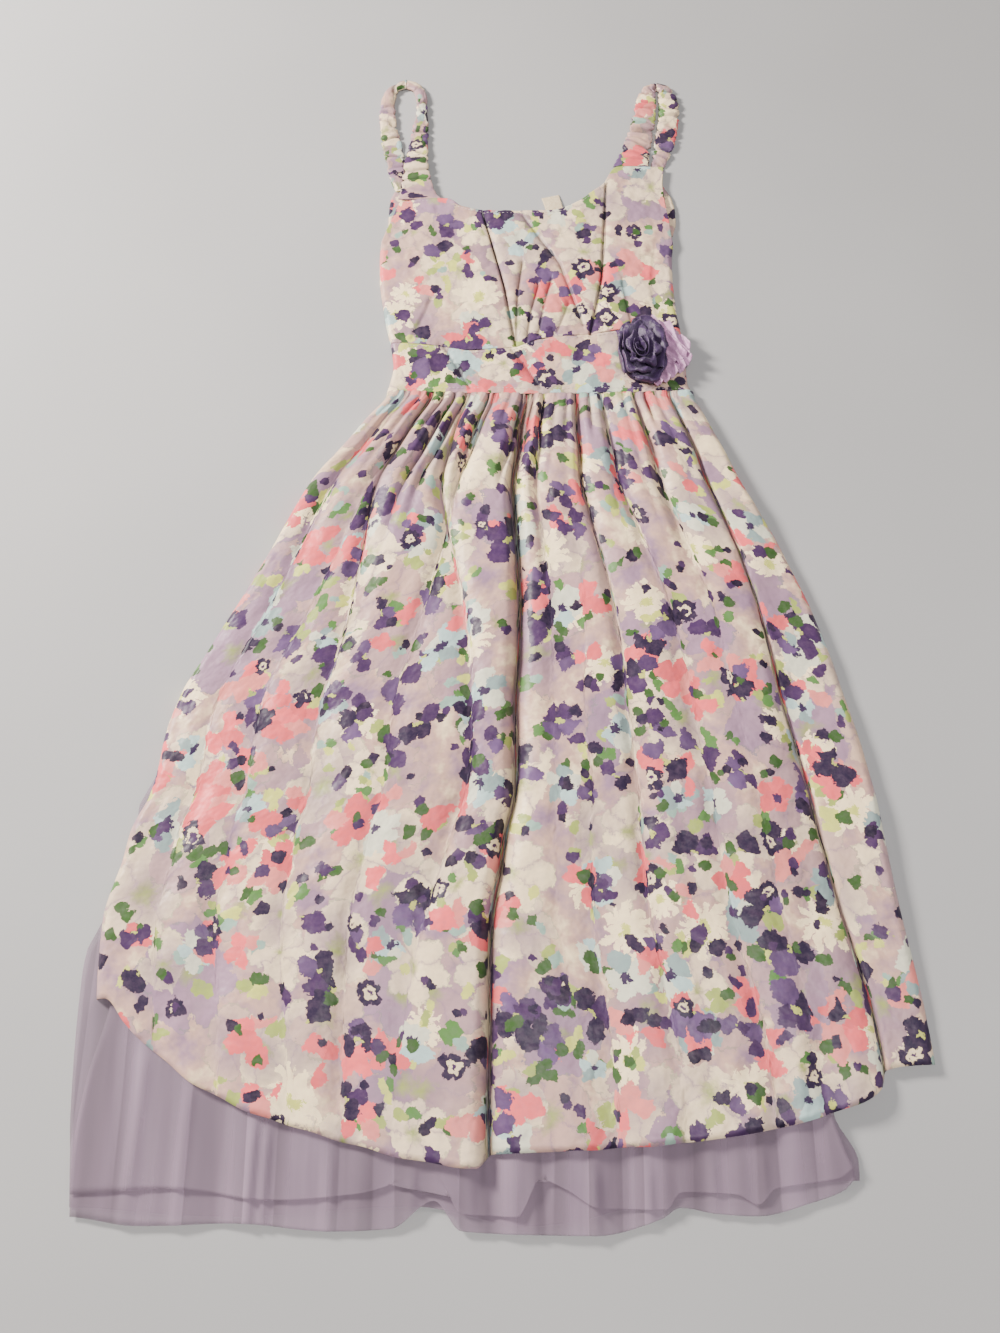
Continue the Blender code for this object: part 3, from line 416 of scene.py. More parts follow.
STRAP_FLARES = {"strap_left_front": 9.0 * MM, "strap_right_front": 2.0 * MM}
STRAP_FLARE_RUN = 0.10
STRAP_RINGS = 200
STRAP_SIDES = 28
STRAP_FOOT = 0.1 * MM
STRAP_FULLNESS = 1.15
STRAP_PRINT_WIDTH = 0.065
STRAP_PRINT_STEP = 0.13
# How dark the painted shade in the strap gathers is made
STRAP_PAINTED_SHADE = 0.55

# A strap is square to the bodice at its start and to the shoulder seam at its
# end. Its direction is read over a short stretch. All are shares of its length.
STRAP_LOOK = 0.01
STRAP_SQUARE_START = 0.12
STRAP_SQUARE_END = 0.90
STRAP_SQUARE_RUN = 0.08

ROSE_CENTRE_X = 134.0 * MM
ROSE_CENTRE_RISE = 41.5 * MM
ROSE_HALF_WIDTH = 26.0 * MM
ROSE_HALF_LENGTH = 38.5 * MM
ROSE_HEIGHT = 19.0 * MM
ROSE_HEART_X = -0.22
ROSE_HEART_Y = -0.14
ROSE_CLEARANCE = 0.5 * MM
ROSE_LOWEST = 0.2 * MM
ROSE_BASE_HEIGHT = 9.0 * MM
ROSE_BASE_REACH = 0.86
ROSE_CRUMPLE = 1.9 * MM
ROSE_CRUMPLE_PITCH = 11.0 * MM
ROSE_SMALL_CRUMPLE_PITCH = 6.0 * MM
ROSE_PETALS = [
    # rim as a share of the half sizes, rim height, direction and half spread in radians, crumple
    (0.92, 8.5, 1.05, 1.05, 0.8), (0.90, 8.0, -1.10, 1.00, 1.0), (0.90, 8.5, 3.00, 1.05, 1.2),
    (0.80, 11.5, 0.10, 0.95, 1.0), (0.72, 13.0, 2.20, 1.15, 1.3), (0.74, 12.5, -2.10, 1.05, 1.3),
    (0.52, 15.5, 0.60, 1.25, 1.4), (0.50, 16.0, -1.40, 1.20, 1.5), (0.44, 16.5, 2.90, 1.30, 1.5),
]
PETAL_SHAPE = Table("along out up", [
    (0, -0.40, -12), (0.30, -0.22, -5.0), (0.60, -0.07, -0.6), (0.80, 0.0, 0), (0.92, 0.05, -1.2),
    (1, 0.06, -4.0),
], "along out")

# The lilac petals fan out from behind the rose, to its right
PETALS_FIRST_ANGLE = -1.25
PETALS_LAST_ANGLE = 1.28
PETALS_OUTER = 1.70
PETALS_STRETCH = 1.05
PETALS_GROUND_EDGE = 170.0 * MM
PETALS_CLEARANCE = 0.8 * MM
PETAL_FOLD_PITCH = 8.5 * MM
PETAL_FANS = [
    # name, first and last angle, reach, lift, seed, flat area in square metres
    ("petal_low", PETALS_FIRST_ANGLE, 0.55, 1.62, 0.0, 0.7, 0.0020),
    ("petal_high", -0.35, PETALS_LAST_ANGLE, PETALS_OUTER, 0.9, 2.9, 0.0018),
]

# The stitches lie on the cloth, this far from the edges that they follow
STITCH_LIFT = 0.15 * MM
HEM_MARGIN = 9.0 * MM
BAND_MARGIN = 2.5 * MM
NECK_MARGIN = 3.0 * MM

# The camera: tilt from straight down, distance to the picture's middle, and
# where that middle lies below the waist seam
CAMERA_TILT = math.radians(22.0)
CAMERA_DISTANCE = 0.9306
CAMERA_LENS = 30.0
CAMERA_SENSOR = 36.0
CAMERA_AIM_DROP = 272.0 * MM

FLOOR_REACH = 30.0
LAMPS = [
    # name, place, width, power, colour
    ("key", (-1.70, 0.85, 1.05), 0.42, 150.0, (1.0, 0.93, 0.85)),
    ("fill", (1.7, -0.8, 1.5), 1.4, 8.0, (0.95, 0.95, 1.0)),
    ("top", (0.25, -0.75, 2.4), 0.7, 50.0, (1.0, 0.96, 0.92)),
]
STUDIO_COLOUR = (1.0, 0.98, 0.95, 1.0)
STUDIO_STRENGTH = 0.23


# Settings

def colour_of(name, description, default):
    return FloatVectorProperty(name=name, description=description, default=default, subtype="COLOR", size=3)


class SundressSettings(PropertyGroup):
    """Sizes and colours of the dress that a user would change."""

    print_scale: FloatProperty(
        name="Print scale", description="Size of the printed flowers", default=1.0, min=0.5, max=2.0)
    wrinkle: FloatProperty(
        name="Wrinkle height", description="Height of the fine wrinkles", default=0.0006, unit="LENGTH")
    ruche_depth: FloatProperty(
        name="Ruche depth", description="Depth of the gathers on the straps, as a share",
        default=0.34, subtype="FACTOR")
    rose_turns: FloatProperty(
        name="Rose turns", description="Turns of the ribbon in the rose's heart", default=1.8)
    stitch_length: FloatProperty(
        name="Stitch length", description="Length of one seam stitch", default=0.0026, unit="LENGTH")
    stitch_step: FloatProperty(
        name="Stitch step", description="Distance from stitch to stitch", default=0.0038, unit="LENGTH")
    stitch_seed: IntProperty(name="Stitch seed", description="Seed of the stitches' unevenness", default=4)
    ground: colour_of("Ground", "Blush ground of the print", (0.60, 0.375, 0.292))
    lavender: colour_of("Lavender", "Colour of the large blossoms", (0.315, 0.195, 0.280))
    cream: colour_of("Cream", "Colour of the pale blossoms", (1.0, 0.80, 0.49))
    violet: colour_of("Violet", "Colour of the dark blossoms", (0.053, 0.023, 0.078))
    mauve: colour_of("Mauve", "Colour of the dark blossoms' paler petals", (0.106, 0.058, 0.145))
    navy: colour_of("Navy", "Colour of the darkest buds", (0.022, 0.013, 0.038))
    coral: colour_of("Coral", "Colour of the warm blossoms", (0.90, 0.135, 0.145))
    leaf: colour_of("Leaf", "Colour of the leaves", (0.085, 0.205, 0.048))
    aqua: colour_of("Aqua", "Colour of the pale blue blossoms", (0.42, 0.57, 0.56))
    lime: colour_of("Lime", "Colour of the yellow-green petals", (0.62, 0.63, 0.145))
    net_colour: colour_of("Net", "Colour of the net", (0.30, 0.215, 0.295))
    rose_colour: colour_of("Rose", "Colour of the rose", (0.040, 0.018, 0.068))
    petal_colour: colour_of("Petals", "Colour of the petals behind the rose", (0.51, 0.275, 0.465))


def settings():
    return bpy.context.scene.sundress


# Small maths on arrays

def lerp(a, b, t):
    return a + (b - a) * t


def ease(t):
    t = np.clip(t, 0, 1)
    return t * t * (3 - 2 * t)


def scatter(index, seed):
    """A number from 0 to 1 that looks random and is the same each time."""
    value = math.sin(index * 12.9898 + seed * 78.233) * 43758.5453
    return value - math.floor(value)


def three_point(first, middle, last, share):
    low = lerp(first, middle, ease(share * 2))
    high = lerp(middle, last, ease(share * 2 - 1))
    return np.where(share < 0.5, low, high)


def step_across(away, width):
    """Soft step from 0 to 1 over a fold line."""
    return 1 / (1 + np.exp(-np.clip(away / width * 3, -30, 30)))


def ripple(x, y, size, seed, turns=7):
    """Smooth unevenness from -1 to 1, as a sum of waves in fixed directions."""
    total = np.zeros_like(x)
    for i in range(turns):
        angle = 2 * math.pi * scatter(i, seed)
        pitch = size * (0.6 + 0.9 * scatter(i, seed + 1))
        bend = 0.6 * np.sin((x * math.sin(angle) - y * math.cos(angle)) / pitch * 2.1 + i)
        phase = 2 * math.pi * scatter(i, seed + 2)
        along = x * math.cos(angle) + y * math.sin(angle)
        total = total + np.sin(along * 2 * math.pi / pitch + phase + bend)
    return total / turns


def grid_shares(columns, rows, across=(0, 1), along=(0, 1)):
    """Places across and along a sheet of so many columns and rows of faces."""
    q, p = np.meshgrid(np.linspace(*along, rows + 1), np.linspace(*across, columns + 1), indexing="ij")
    return p, q


# Surface of the skirt

def skirt_centre(drop):
    return 0.5 * (SKIRT_SIDES.at("left", drop) + SKIRT_SIDES.at("right", drop))


def skirt_half(drop):
    return 0.5 * (SKIRT_SIDES.at("right", drop) - SKIRT_SIDES.at("left", drop))


def waist_y(across):
    return -WAIST_SAG * (1 - np.clip(np.abs(across), 0, 1) ** 2)


def skirt_across(x, drop):
    return (x - skirt_centre(drop)) / (skirt_half(drop) - SKIRT_ROLL)


def gather_lines():
    for i in range(GATHERS):
        run = lerp(GATHER_SHORTEST, GATHER_LONGEST, scatter(i, 1) ** 1.6)
        jitter = (scatter(i, 2) - 0.5) * 0.2
        yield i, run, -1 + 2 * (3 * i + 1 + jitter) / (3 * GATHERS)


def fold_lines(share):
    """Centre, depth, widths and hidden cloth of each long fold at a share of the length."""
    for row in SKIRT_FOLDS:
        spread = MM * lerp(FOLD_WAIST_WIDTH, 1.0, ease(share / FOLD_FULL_WIDTH_FROM))
        widths = [value * spread for value in row[6:8]]
        yield three_point(*row[0:3], share), three_point(*row[3:6], share), widths, row[8] * MM


def groove_width(depth):
    """The deepest fold's groove is the widest, both in its shape and in its painted shade."""
    return GROOVE_HALF_WIDTH * lerp(0.75, 1.9, ease((depth - 0.79) / 0.08))


def skirt_fold_factor(across, share, half, drop, fine):
    left = np.ones_like(across)
    for centre, depth, widths, _ in fold_lines(share):
        away = (across - centre) * half
        crease = np.exp(-(away / np.where(away < 0, *widths)) ** 2)
        if fine:
            narrow = np.exp(-(np.abs(away) / groove_width(depth)) ** 1.7)
            groove = ease((depth - GROOVE_FROM_DEPTH) / 0.4)
            crease = lerp(crease, 0.5 * crease + 0.5 * narrow, groove)
            depth = np.clip(depth * (1 + 0.1 * groove), 0, 0.97)
        left = left * (1 - depth * crease)
    for i, run, centre in gather_lines():
        fade = 1 - ease(drop / run)
        away = np.abs(across - centre) * half
        if fine:
            crease = np.exp(-(away / (0.6 * GATHER_HALF_WIDTH + 0.5 * GATHER_SPREAD * drop)) ** 1.6)
            depth = np.minimum(1.7 * GATHER_DEPTH * gather_strength(i) * fade ** 0.7, 0.95)
        else:
            crease = np.exp(-(away / (GATHER_HALF_WIDTH + GATHER_SPREAD * drop)) ** 2)
            depth = np.minimum(GATHER_DEPTH * (0.75 + 0.5 * scatter(i, 3)) * fade, 0.9)
        left = left * (1 - depth * crease)
    return left


def gather_strength(index):
    """Some gathers pull hard and others hardly show."""
    return lerp(0.12, 1.3, scatter(index, 3) ** 1.3)


def skirt_painted_shade(across, share, half, drop):
    """Painted shade: how much each place is darkened inside a narrow fold or gather, where little light
    comes.
    """
    left = np.ones_like(across)
    for centre, depth, _, _ in fold_lines(share):
        groove = depth * ease((depth - GROOVE_FROM_DEPTH) / 0.3)
        away = np.abs(across - centre) * half
        left = left * (1 - groove * np.exp(-(away / (0.9 * groove_width(depth))) ** 2))
    for i, run, centre in gather_lines():
        fade = (1 - ease(drop / run)) ** 0.8 * np.minimum(gather_strength(i), 1)
        width = 0.42 * GATHER_HALF_WIDTH + 0.012 * drop
        left = left * (1 - fade * np.exp(-((across - centre) * half / width) ** 2))
    return PAINTED_GROOVE_SHADE * (1 - left)


def lift(x, drop, fine=False):
    across = np.clip(skirt_across(x, drop), -1, 1)
    length = SKIRT_HEM.at("drop", across)
    share = np.clip(drop / length, 0, 1)
    side = SKIRT_LOFT.at("side", share)
    middle = SKIRT_LOFT.at("middle", share)
    dome = side + (middle - side) * (1 - across * across)
    if fine:
        puff = ease(drop / WAIST_PUFF_GROW) * (1 - ease((drop - WAIST_PUFF_END) / WAIST_PUFF_FADE))
        dome = dome * (1 + WAIST_PUFF * puff)
    factor = skirt_fold_factor(across, share, skirt_half(drop), drop, fine)
    past_hem = ease((drop - length) / NET_SETTLE_LENGTH)
    return dome * factor * (1 - NET_SETTLE_SHARE * past_hem)


def cloth_across(across, share, half, drop):
    """Place across the flat cloth: the folds and gathers share out what they hide."""
    before = np.zeros_like(across)
    total = np.zeros_like(across)
    for centre, depth, _, hidden in fold_lines(share):
        weight = hidden * depth
        before = before + weight * step_across((across - centre) * half, FOLD_TAKES_UP)
        total = total + weight
    for i, run, centre in gather_lines():
        weight = GATHER_HIDDEN * gather_strength(i) * (1 - ease(drop / run))
        before = before + weight * step_across((across - centre) * half, GATHER_TAKES_UP)
        total = total + weight
    spare = SKIRT_FLAT_WIDTH - 2 * half
    return across * (half - SKIRT_ROLL) + spare * (before / total - 0.5)


def crowd_to_folds(p, q):
    """Columns spread over -1 to 1, closer together near the deep folds."""
    fine = np.linspace(-1, 1, CROWDING_SAMPLES)
    across = np.empty_like(p)
    for row in range(p.shape[0]):
        share = np.full_like(fine, q[row, 0] ** SKIRT_ROW_POWER)
        half = float(skirt_half(share[0] * SKIRT_HEM.at("drop", 0.0)))
        density = np.ones_like(fine)
        for centre, depth, _, _ in fold_lines(share):
            density = density + CROWDING * depth * np.exp(-((fine - centre) * half / CROWDING_WIDTH) ** 2)
        total = np.cumsum(density)
        total = (total - total[0]) / (total[-1] - total[0])
        across[row] = np.interp(p[row], total, fine)
    return across


def net_under(x):
    return 1 - ease((x - NET_RIGHT_EDGE) / NET_RIGHT_FADE)


def bed(x, drop):
    across = np.clip(skirt_across(x, drop), -1, 1)
    length = SKIRT_HEM.at("drop", across)
    below = ease((drop - length + HEM_STEP_START) / HEM_STEP)
    edge = SKIRT_SIDES.at("left", drop)
    beside = ease((edge - NET_EDGE_CLEARANCE - x) / NET_EDGE_FADE)
    beside = beside * ease((drop - NET_BULGES_FROM) / NET_BULGE_FADE)
    return (CLOTH + GAP) * np.maximum(below, beside)


def skirt_top(x, drop, fine=False):
    layers = (SKIRT_LEVEL - CLOTH - GAP - CLOTH) * (1 - net_under(x))
    return SKIRT_LEVEL - layers + lift(x, drop, fine)


def net_pleats(x, drop):
    across = np.clip(skirt_across(x, drop), -1, 1)
    length = SKIRT_HEM.at("drop", across)
    grow = ease((drop - length + NET_PLEATS_BEFORE_HEM) / NET_PLEATS_GROW)
    phase = x / NET_WIDTH * NET_PLEATS * 2 * math.pi
    wave = np.sin(phase + 1.6 * np.sin(phase * 0.31)) * 0.5 + 0.5
    return NET_PLEAT_HEIGHT * grow * wave * (0.55 + 0.45 * np.sin(phase * 0.23 + 1.0))


# Surface of the bodice

def signed_distance(x, y, x1, y1, x2, y2):
    """Distance to a line's piece, below zero to the left of it seen from its start."""
    length = math.hypot(x2 - x1, y2 - y1)
    t = np.clip(((x - x1) * (x2 - x1) + (y - y1) * (y2 - y1)) / length ** 2, 0, 1)
    side = (x - x1) * (y2 - y1) - (y - y1) * (x2 - x1)
    return np.hypot(x - lerp(x1, x2, t), y - lerp(y1, y2, t)) * np.where(side < 0, -1, 1)


def crease_factor(x, rise, fine):
    left = np.ones_like(x)
    for row in BODICE_CREASES:
        x1, y1, x2, y2, x3, y3 = [value * MM for value in row[:6]]
        one = signed_distance(x, rise, x1, y1, x2, y2)
        two = signed_distance(x, rise, x2, y2, x3, y3)
        away = np.where(np.abs(one) < np.abs(two), one, two) / (row[7] * MM)
        crease = np.exp(-away ** 2)
        if fine:
            tuck = np.where(away < 0, np.exp(-(away / 0.22) ** 2), np.exp(-away * 1.6))
            crease = 0.35 * crease + 0.85 * tuck
        left = left * (1 - row[6] * crease)
    return left


# Painted shade along the bodice's tucks and creases, darker where they are deeper
def bodice_painted_shade(x, rise):
    left = np.ones_like(x)
    for row in BODICE_CREASES:
        x1, y1, x2, y2, x3, y3 = [value * MM for value in row[:6]]
        near = np.minimum(np.abs(signed_distance(x, rise, x1, y1, x2, y2)),
                          np.abs(signed_distance(x, rise, x2, y2, x3, y3)))
        left = left * (1 - ease(row[6] / 0.6) * np.exp(-(near / TUCK_SHADE_HALF_WIDTH) ** 2))
    return 0.85 * PAINTED_GROOVE_SHADE * (1 - left)


def bodice_top(x, rise, fine=False):
    left = BODICE_SIDES.at("left", rise) + BODICE_ROLL
    right = BODICE_SIDES.at("right", rise) - BODICE_ROLL
    across = np.clip((2 * x - left - right) / (right - left), -1, 1)
    side = BODICE_LOFT.at("side", rise)
    middle = BODICE_LOFT.at("middle", rise)
    dome = side + (middle - side) * (1 - across ** 4)
    return BODICE_LEVEL + dome * crease_factor(x, rise, fine)


def front_top(x, y):
    """Top of the cloth near the waist, for what is sewn on it."""
    on_band = bodice_top(x, np.maximum(y, 0))
    on_skirt = skirt_top(x, np.maximum(-y, 0))
    return np.where(y >= 0, on_band, np.maximum(on_band, on_skirt))


# Meshes

def linked(name, data):
    """A new object in the scene."""
    piece = bpy.data.objects.new(name, data)
    bpy.context.scene.collection.objects.link(piece)
    return piece


def in_frame(x, y, z):
    """Points of the frame from places that are measured as in the tables."""
    return np.stack([x + SHIFT_X, y + SHIFT_Y, z], axis=-1)


def grid_mesh(name, x, y, z, u, v, wall, material):
    """A sheet from arrays of rows and columns, with its print map and its wall."""
    rows, columns = x.shape
    mesh = bpy.data.meshes.new(name)
    points = in_frame(x, y, z)
    index = np.arange(rows * columns).reshape(rows, columns)
    corners = [index[:-1, :-1], index[:-1, 1:], index[1:, 1:], index[1:, :-1]]
    faces = np.stack([corner.ravel() for corner in corners], axis=-1)
    middle = points[rows // 2, columns // 2]
    along = points[rows // 2 + 1, columns // 2] - middle
    across = points[rows // 2, columns // 2 + 1] - middle
    if np.cross(across, along)[2] < 0:
        faces = faces[:, ::-1]
    mesh.from_pydata(points.reshape(-1, 3).tolist(), [], faces.tolist())
    layer = mesh.uv_layers.new(name="Cloth")
    places = np.stack([u, v], axis=-1).reshape(-1, 2)[faces.ravel()]
    layer.data.foreach_set("uv", places.astype(np.float32).ravel())
    mesh.materials.append(material)
    mesh.shade_smooth()
    return walled(mesh, wall)


def walled(mesh, wall):
    """The piece of a sheet's mesh, with its wall on the inner side."""
    piece = linked(mesh.name, mesh)
    solidify = piece.modifiers.new("Wall", "SOLIDIFY")
    solidify.thickness = wall
    solidify.offset = -1
    return piece


def with_painted_shade(sheet, shade):
    """Keep each point's painted shade, how much darker it is made inside a fold, for the cloth's material."""
    crease = sheet.data.attributes.new("PaintedShade", "FLOAT", "POINT")
    crease.data.foreach_set("value", shade.ravel().astype(np.float32))
    return sheet


def carried(piece, slot, *nodes):
    """Ride on the dress's one body and stand for the solids. The slot is not used."""
    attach(piece, "root")
    if nodes:
        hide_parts(*nodes)
    return piece


# Materials

class Nodes:
    """Short calls that add nodes to a tree and link them."""

    def __init__(self, tree):
        self.tree = tree

    def new(self, kind, **values):
        node = self.tree.nodes.new(kind)
        for key, value in values.items():
            setattr(node, key, value)
        return node

    def put(self, socket, value):
        if isinstance(value, bpy.types.NodeSocket):
            self.tree.links.new(value, socket)
        else:
            socket.default_value = value

    def fed(self, kind, inputs, **values):
        """A new node with its inputs, by name or place, linked or set."""
        node = self.new(kind, **values)
        for key, value in inputs.items():
            self.put(node.inputs[key], value)
        return node

    def math(self, operation, a, b=0.0, c=0.0):
        return self.fed("ShaderNodeMath", {0: a, 1: b, 2: c}, operation=operation).outputs[0]

    def times(self, a, b):
        return self.math("MULTIPLY", a, b)

    def plus(self, a, b):
        return self.math("ADD", a, b)

    def minus(self, a, b):
        return self.math("SUBTRACT", a, b)

    def below(self, a, b):
        return self.math("LESS_THAN", a, b)

    def above(self, a, b):
        return self.math("GREATER_THAN", a, b)

    def vector(self, operation, a, b=(0.0, 0.0, 0.0), scale=None):
        inputs = {0: a, 1: b} if scale is None else {0: a, "Scale": scale}
        return self.fed("ShaderNodeVectorMath", inputs, operation=operation).outputs[0]

    def mix(self, share, a, b):
        return self.fed("ShaderNodeMix", {0: share, 6: a, 7: b}, data_type="RGBA").outputs[2]

    def noise(self, vector, scale, detail=2.0, roughness=0.5):
        inputs = {"Vector": vector, "Scale": scale, "Detail": detail, "Roughness": roughness}
        return self.fed("ShaderNodeTexNoise", inputs)

    def ramp(self, value, stops, mode="LINEAR"):
        node = self.new("ShaderNodeValToRGB")
        node.color_ramp.interpolation = mode
        while len(node.color_ramp.elements) < len(stops):
            node.color_ramp.elements.new(0.5)
        for element, (place, colour) in zip(node.color_ramp.elements, stops):
            element.position = place
            element.color = colour
        self.put(node.inputs[0], value)
        return node.outputs[0]

    def two_tones(self, value, dark, light):
        return self.ramp(value, [(0.3, dark), (0.7, light)])

    def cloth_map(self):
        """Place on the flat cloth, in metres."""
        return self.new("ShaderNodeUVMap", uv_map="Cloth").outputs[0]


def rgba(colour, scale=1.0):
    return (colour[0] * scale, colour[1] * scale, colour[2] * scale, 1.0)


def grey(value):
    return (value, value, value, 1.0)


def blend_colour(a, b, share):
    return [lerp(x, y, share) for x, y in zip(a, b)]


# How far noise shifts the flowers' outlines, as a share of a cell
FLOWER_WOBBLE = 0.50

FLOWER_INPUTS = (
    ("Cells", 30.0), ("Petals", 5.0), ("Size", 0.4), ("Notch", 0.3), ("Share", 0.4), ("Stretch", 1.0),
    ("Seed", 0.0), ("Gaps", 0.0),
)


def flower_group():
    """One scattered kind of flower.

    Mask is 1 inside its petals. Rim runs from 0 at the eye to 1 at the edge.
    Random is one number for each flower and Tone one for each petal. Vein is 0
    down the middle of a petal and 1 between two petals.
    """
    group = bpy.data.node_groups.new("Scattered flower", "ShaderNodeTree")
    group.interface.new_socket("Vector", in_out="INPUT", socket_type="NodeSocketVector")
    for name, value in FLOWER_INPUTS:
        socket = group.interface.new_socket(name, in_out="INPUT", socket_type="NodeSocketFloat")
        socket.default_value = value
    for name in ("Mask", "Rim", "Random", "Tone", "Vein"):
        group.interface.new_socket(name, in_out="OUTPUT", socket_type="NodeSocketFloat")
    make = Nodes(group)
    given = make.new("NodeGroupInput").outputs
    result = make.new("NodeGroupOutput").inputs

    shift = make.fed("ShaderNodeCombineXYZ", {0: given["Seed"], 1: make.times(given["Seed"], 1.7)})
    place = make.vector("SCALE", given["Vector"], scale=given["Cells"])
    place = make.vector("ADD", place, shift.outputs[0])
    wobble = make.vector("SUBTRACT", make.noise(place, 2.6, 5.0, 0.68).outputs["Color"], (0.5, 0.5, 0.5))
    place = make.vector("ADD", place, make.vector("SCALE", wobble, scale=FLOWER_WOBBLE))
    cells = make.fed("ShaderNodeTexVoronoi", {"Vector": place, "Scale": 1.0}, voronoi_dimensions="2D")
    away = make.fed("ShaderNodeSeparateXYZ", {0: make.vector("SUBTRACT", place, cells.outputs["Position"])})
    dice = make.fed("ShaderNodeSeparateColor", {0: cells.outputs["Color"]})
    first, second, third = dice.outputs[0], dice.outputs[1], dice.outputs[2]

    turn = make.times(first, 2 * math.pi)
    cosine = make.math("COSINE", turn)
    sine = make.math("SINE", turn)
    x, y = away.outputs[0], away.outputs[1]
    along = make.plus(make.times(x, cosine), make.times(y, sine))
    beside = make.minus(make.times(y, cosine), make.times(x, sine))
    beside = make.times(beside, given["Stretch"])
    far = make.math("SQRT", make.plus(make.math("POWER", along, 2.0), make.math("POWER", beside, 2.0)))
    place_in_ring = make.times(make.math("ARCTAN2", beside, along),
                              make.times(given["Petals"], 0.5 / math.pi))
    petal = make.math("WRAP", make.math("ROUND", place_in_ring), given["Petals"], 0.0)
    lobe = make.math("ABSOLUTE", make.math("COSINE", make.times(place_in_ring, math.pi)))
    lobe = make.math("POWER", lobe, 0.6)
    key = make.fed("ShaderNodeCombineXYZ", {0: make.times(third, 91.7), 1: petal})
    hashed = make.fed("ShaderNodeTexWhiteNoise", {"Vector": key.outputs[0]}, noise_dimensions="2D")
    tone = hashed.outputs["Value"]

    notch = make.times(make.minus(1.0, lobe), given["Notch"])
    reach = make.minus(1.0, notch)
    grown = make.times(given["Size"], make.plus(0.65, make.times(second, 0.55)))
    uneven = make.plus(0.80, make.times(make.math("FRACT", make.times(tone, 7.3)), 0.3))
    ragged = make.plus(0.86, make.times(make.noise(place, 7.0, 2.0, 0.6).outputs[0], 0.28))
    reach = make.times(make.times(make.times(reach, grown), uneven), ragged)
    rim = make.math("DIVIDE", far, reach)
    inside = make.below(rim, 1.0)
    chosen = make.below(third, given["Share"])
    kept = make.above(tone, given["Gaps"])
    make.put(result["Mask"], make.times(make.times(inside, chosen), kept))
    make.put(result["Rim"], rim)
    make.put(result["Random"], make.math("FRACT", make.times(third, 37.7)))
    make.put(result["Tone"], tone)
    make.put(result["Vein"], make.minus(1.0, lobe))
    return group


def flowers(make, vector, **values):
    group = bpy.data.node_groups.get("Scattered flower") or flower_group()
    node = make.new("ShaderNodeGroup", node_tree=group)
    make.put(node.inputs["Vector"], vector)
    for name, value in values.items():
        node.inputs[name.capitalize()].default_value = value
    return node.outputs


def stops_of(tones):
    """A ramp's stops from rows of a place, a colour and, where it isn't 1, the colour's scale."""
    return [(place, rgba(*colour)) for place, *colour in tones]


def blossom_layer(make, colour, vector, tones, **shape):
    """Large pale blossoms whose petals differ in tone and darken to the eye and the veins."""
    use = settings()
    bloom = flowers(make, vector, petals=6.0, size=0.60, notch=0.30, **shape)
    tone = make.ramp(bloom["Random"], stops_of(tones), "CONSTANT")
    tone = make.mix(make.times(bloom["Tone"], 0.35), tone, rgba(use.lavender, 1.05))
    hearted = make.above(make.math("FRACT", make.times(bloom["Random"], 5.3)), 0.5)
    inner = make.math("POWER", make.math("MAXIMUM", make.minus(1.0, bloom["Rim"]), 0.0), 0.8)
    tone = make.mix(make.times(make.times(inner, hearted), 0.9), tone, rgba(use.lavender, 0.85))
    veins = make.times(make.math("POWER", bloom["Vein"], 2.2), 0.85)
    tone = make.mix(veins, tone, rgba(use.lavender, 0.9))
    heart = make.math("MAXIMUM", make.minus(1.0, make.times(bloom["Rim"], 3.4)), 0.0)
    tone = make.mix(heart, tone, rgba(blend_colour(use.leaf, use.lime, 0.45), 0.9))
    drawn = make.times(make.above(bloom["Rim"], 0.955), 0.4)
    tone = make.mix(drawn, tone, rgba(blend_colour(use.mauve, use.leaf, 0.5), 1.6))
    return make.mix(make.times(bloom["Mask"], 0.94), colour, tone)


def motif_layer(make, colour, vector, tones, eyes=(), veins=None, **shape):
    """One kind of motif over the colour: its petals' tones, its veins and its eye from outside in."""
    motif = flowers(make, vector, **shape)
    stops = stops_of(tones)
    tone = stops[0][1]
    if len(stops) > 1:
        tone = make.ramp(motif["Tone"], stops, "CONSTANT")
    if veins is not None:
        tone = make.mix(make.times(motif["Vein"], 0.5), tone, rgba(veins))
    for rim, eye in stops_of(eyes):
        tone = make.mix(make.below(motif["Rim"], rim), tone, eye)
    return make.mix(motif["Mask"], colour, tone)


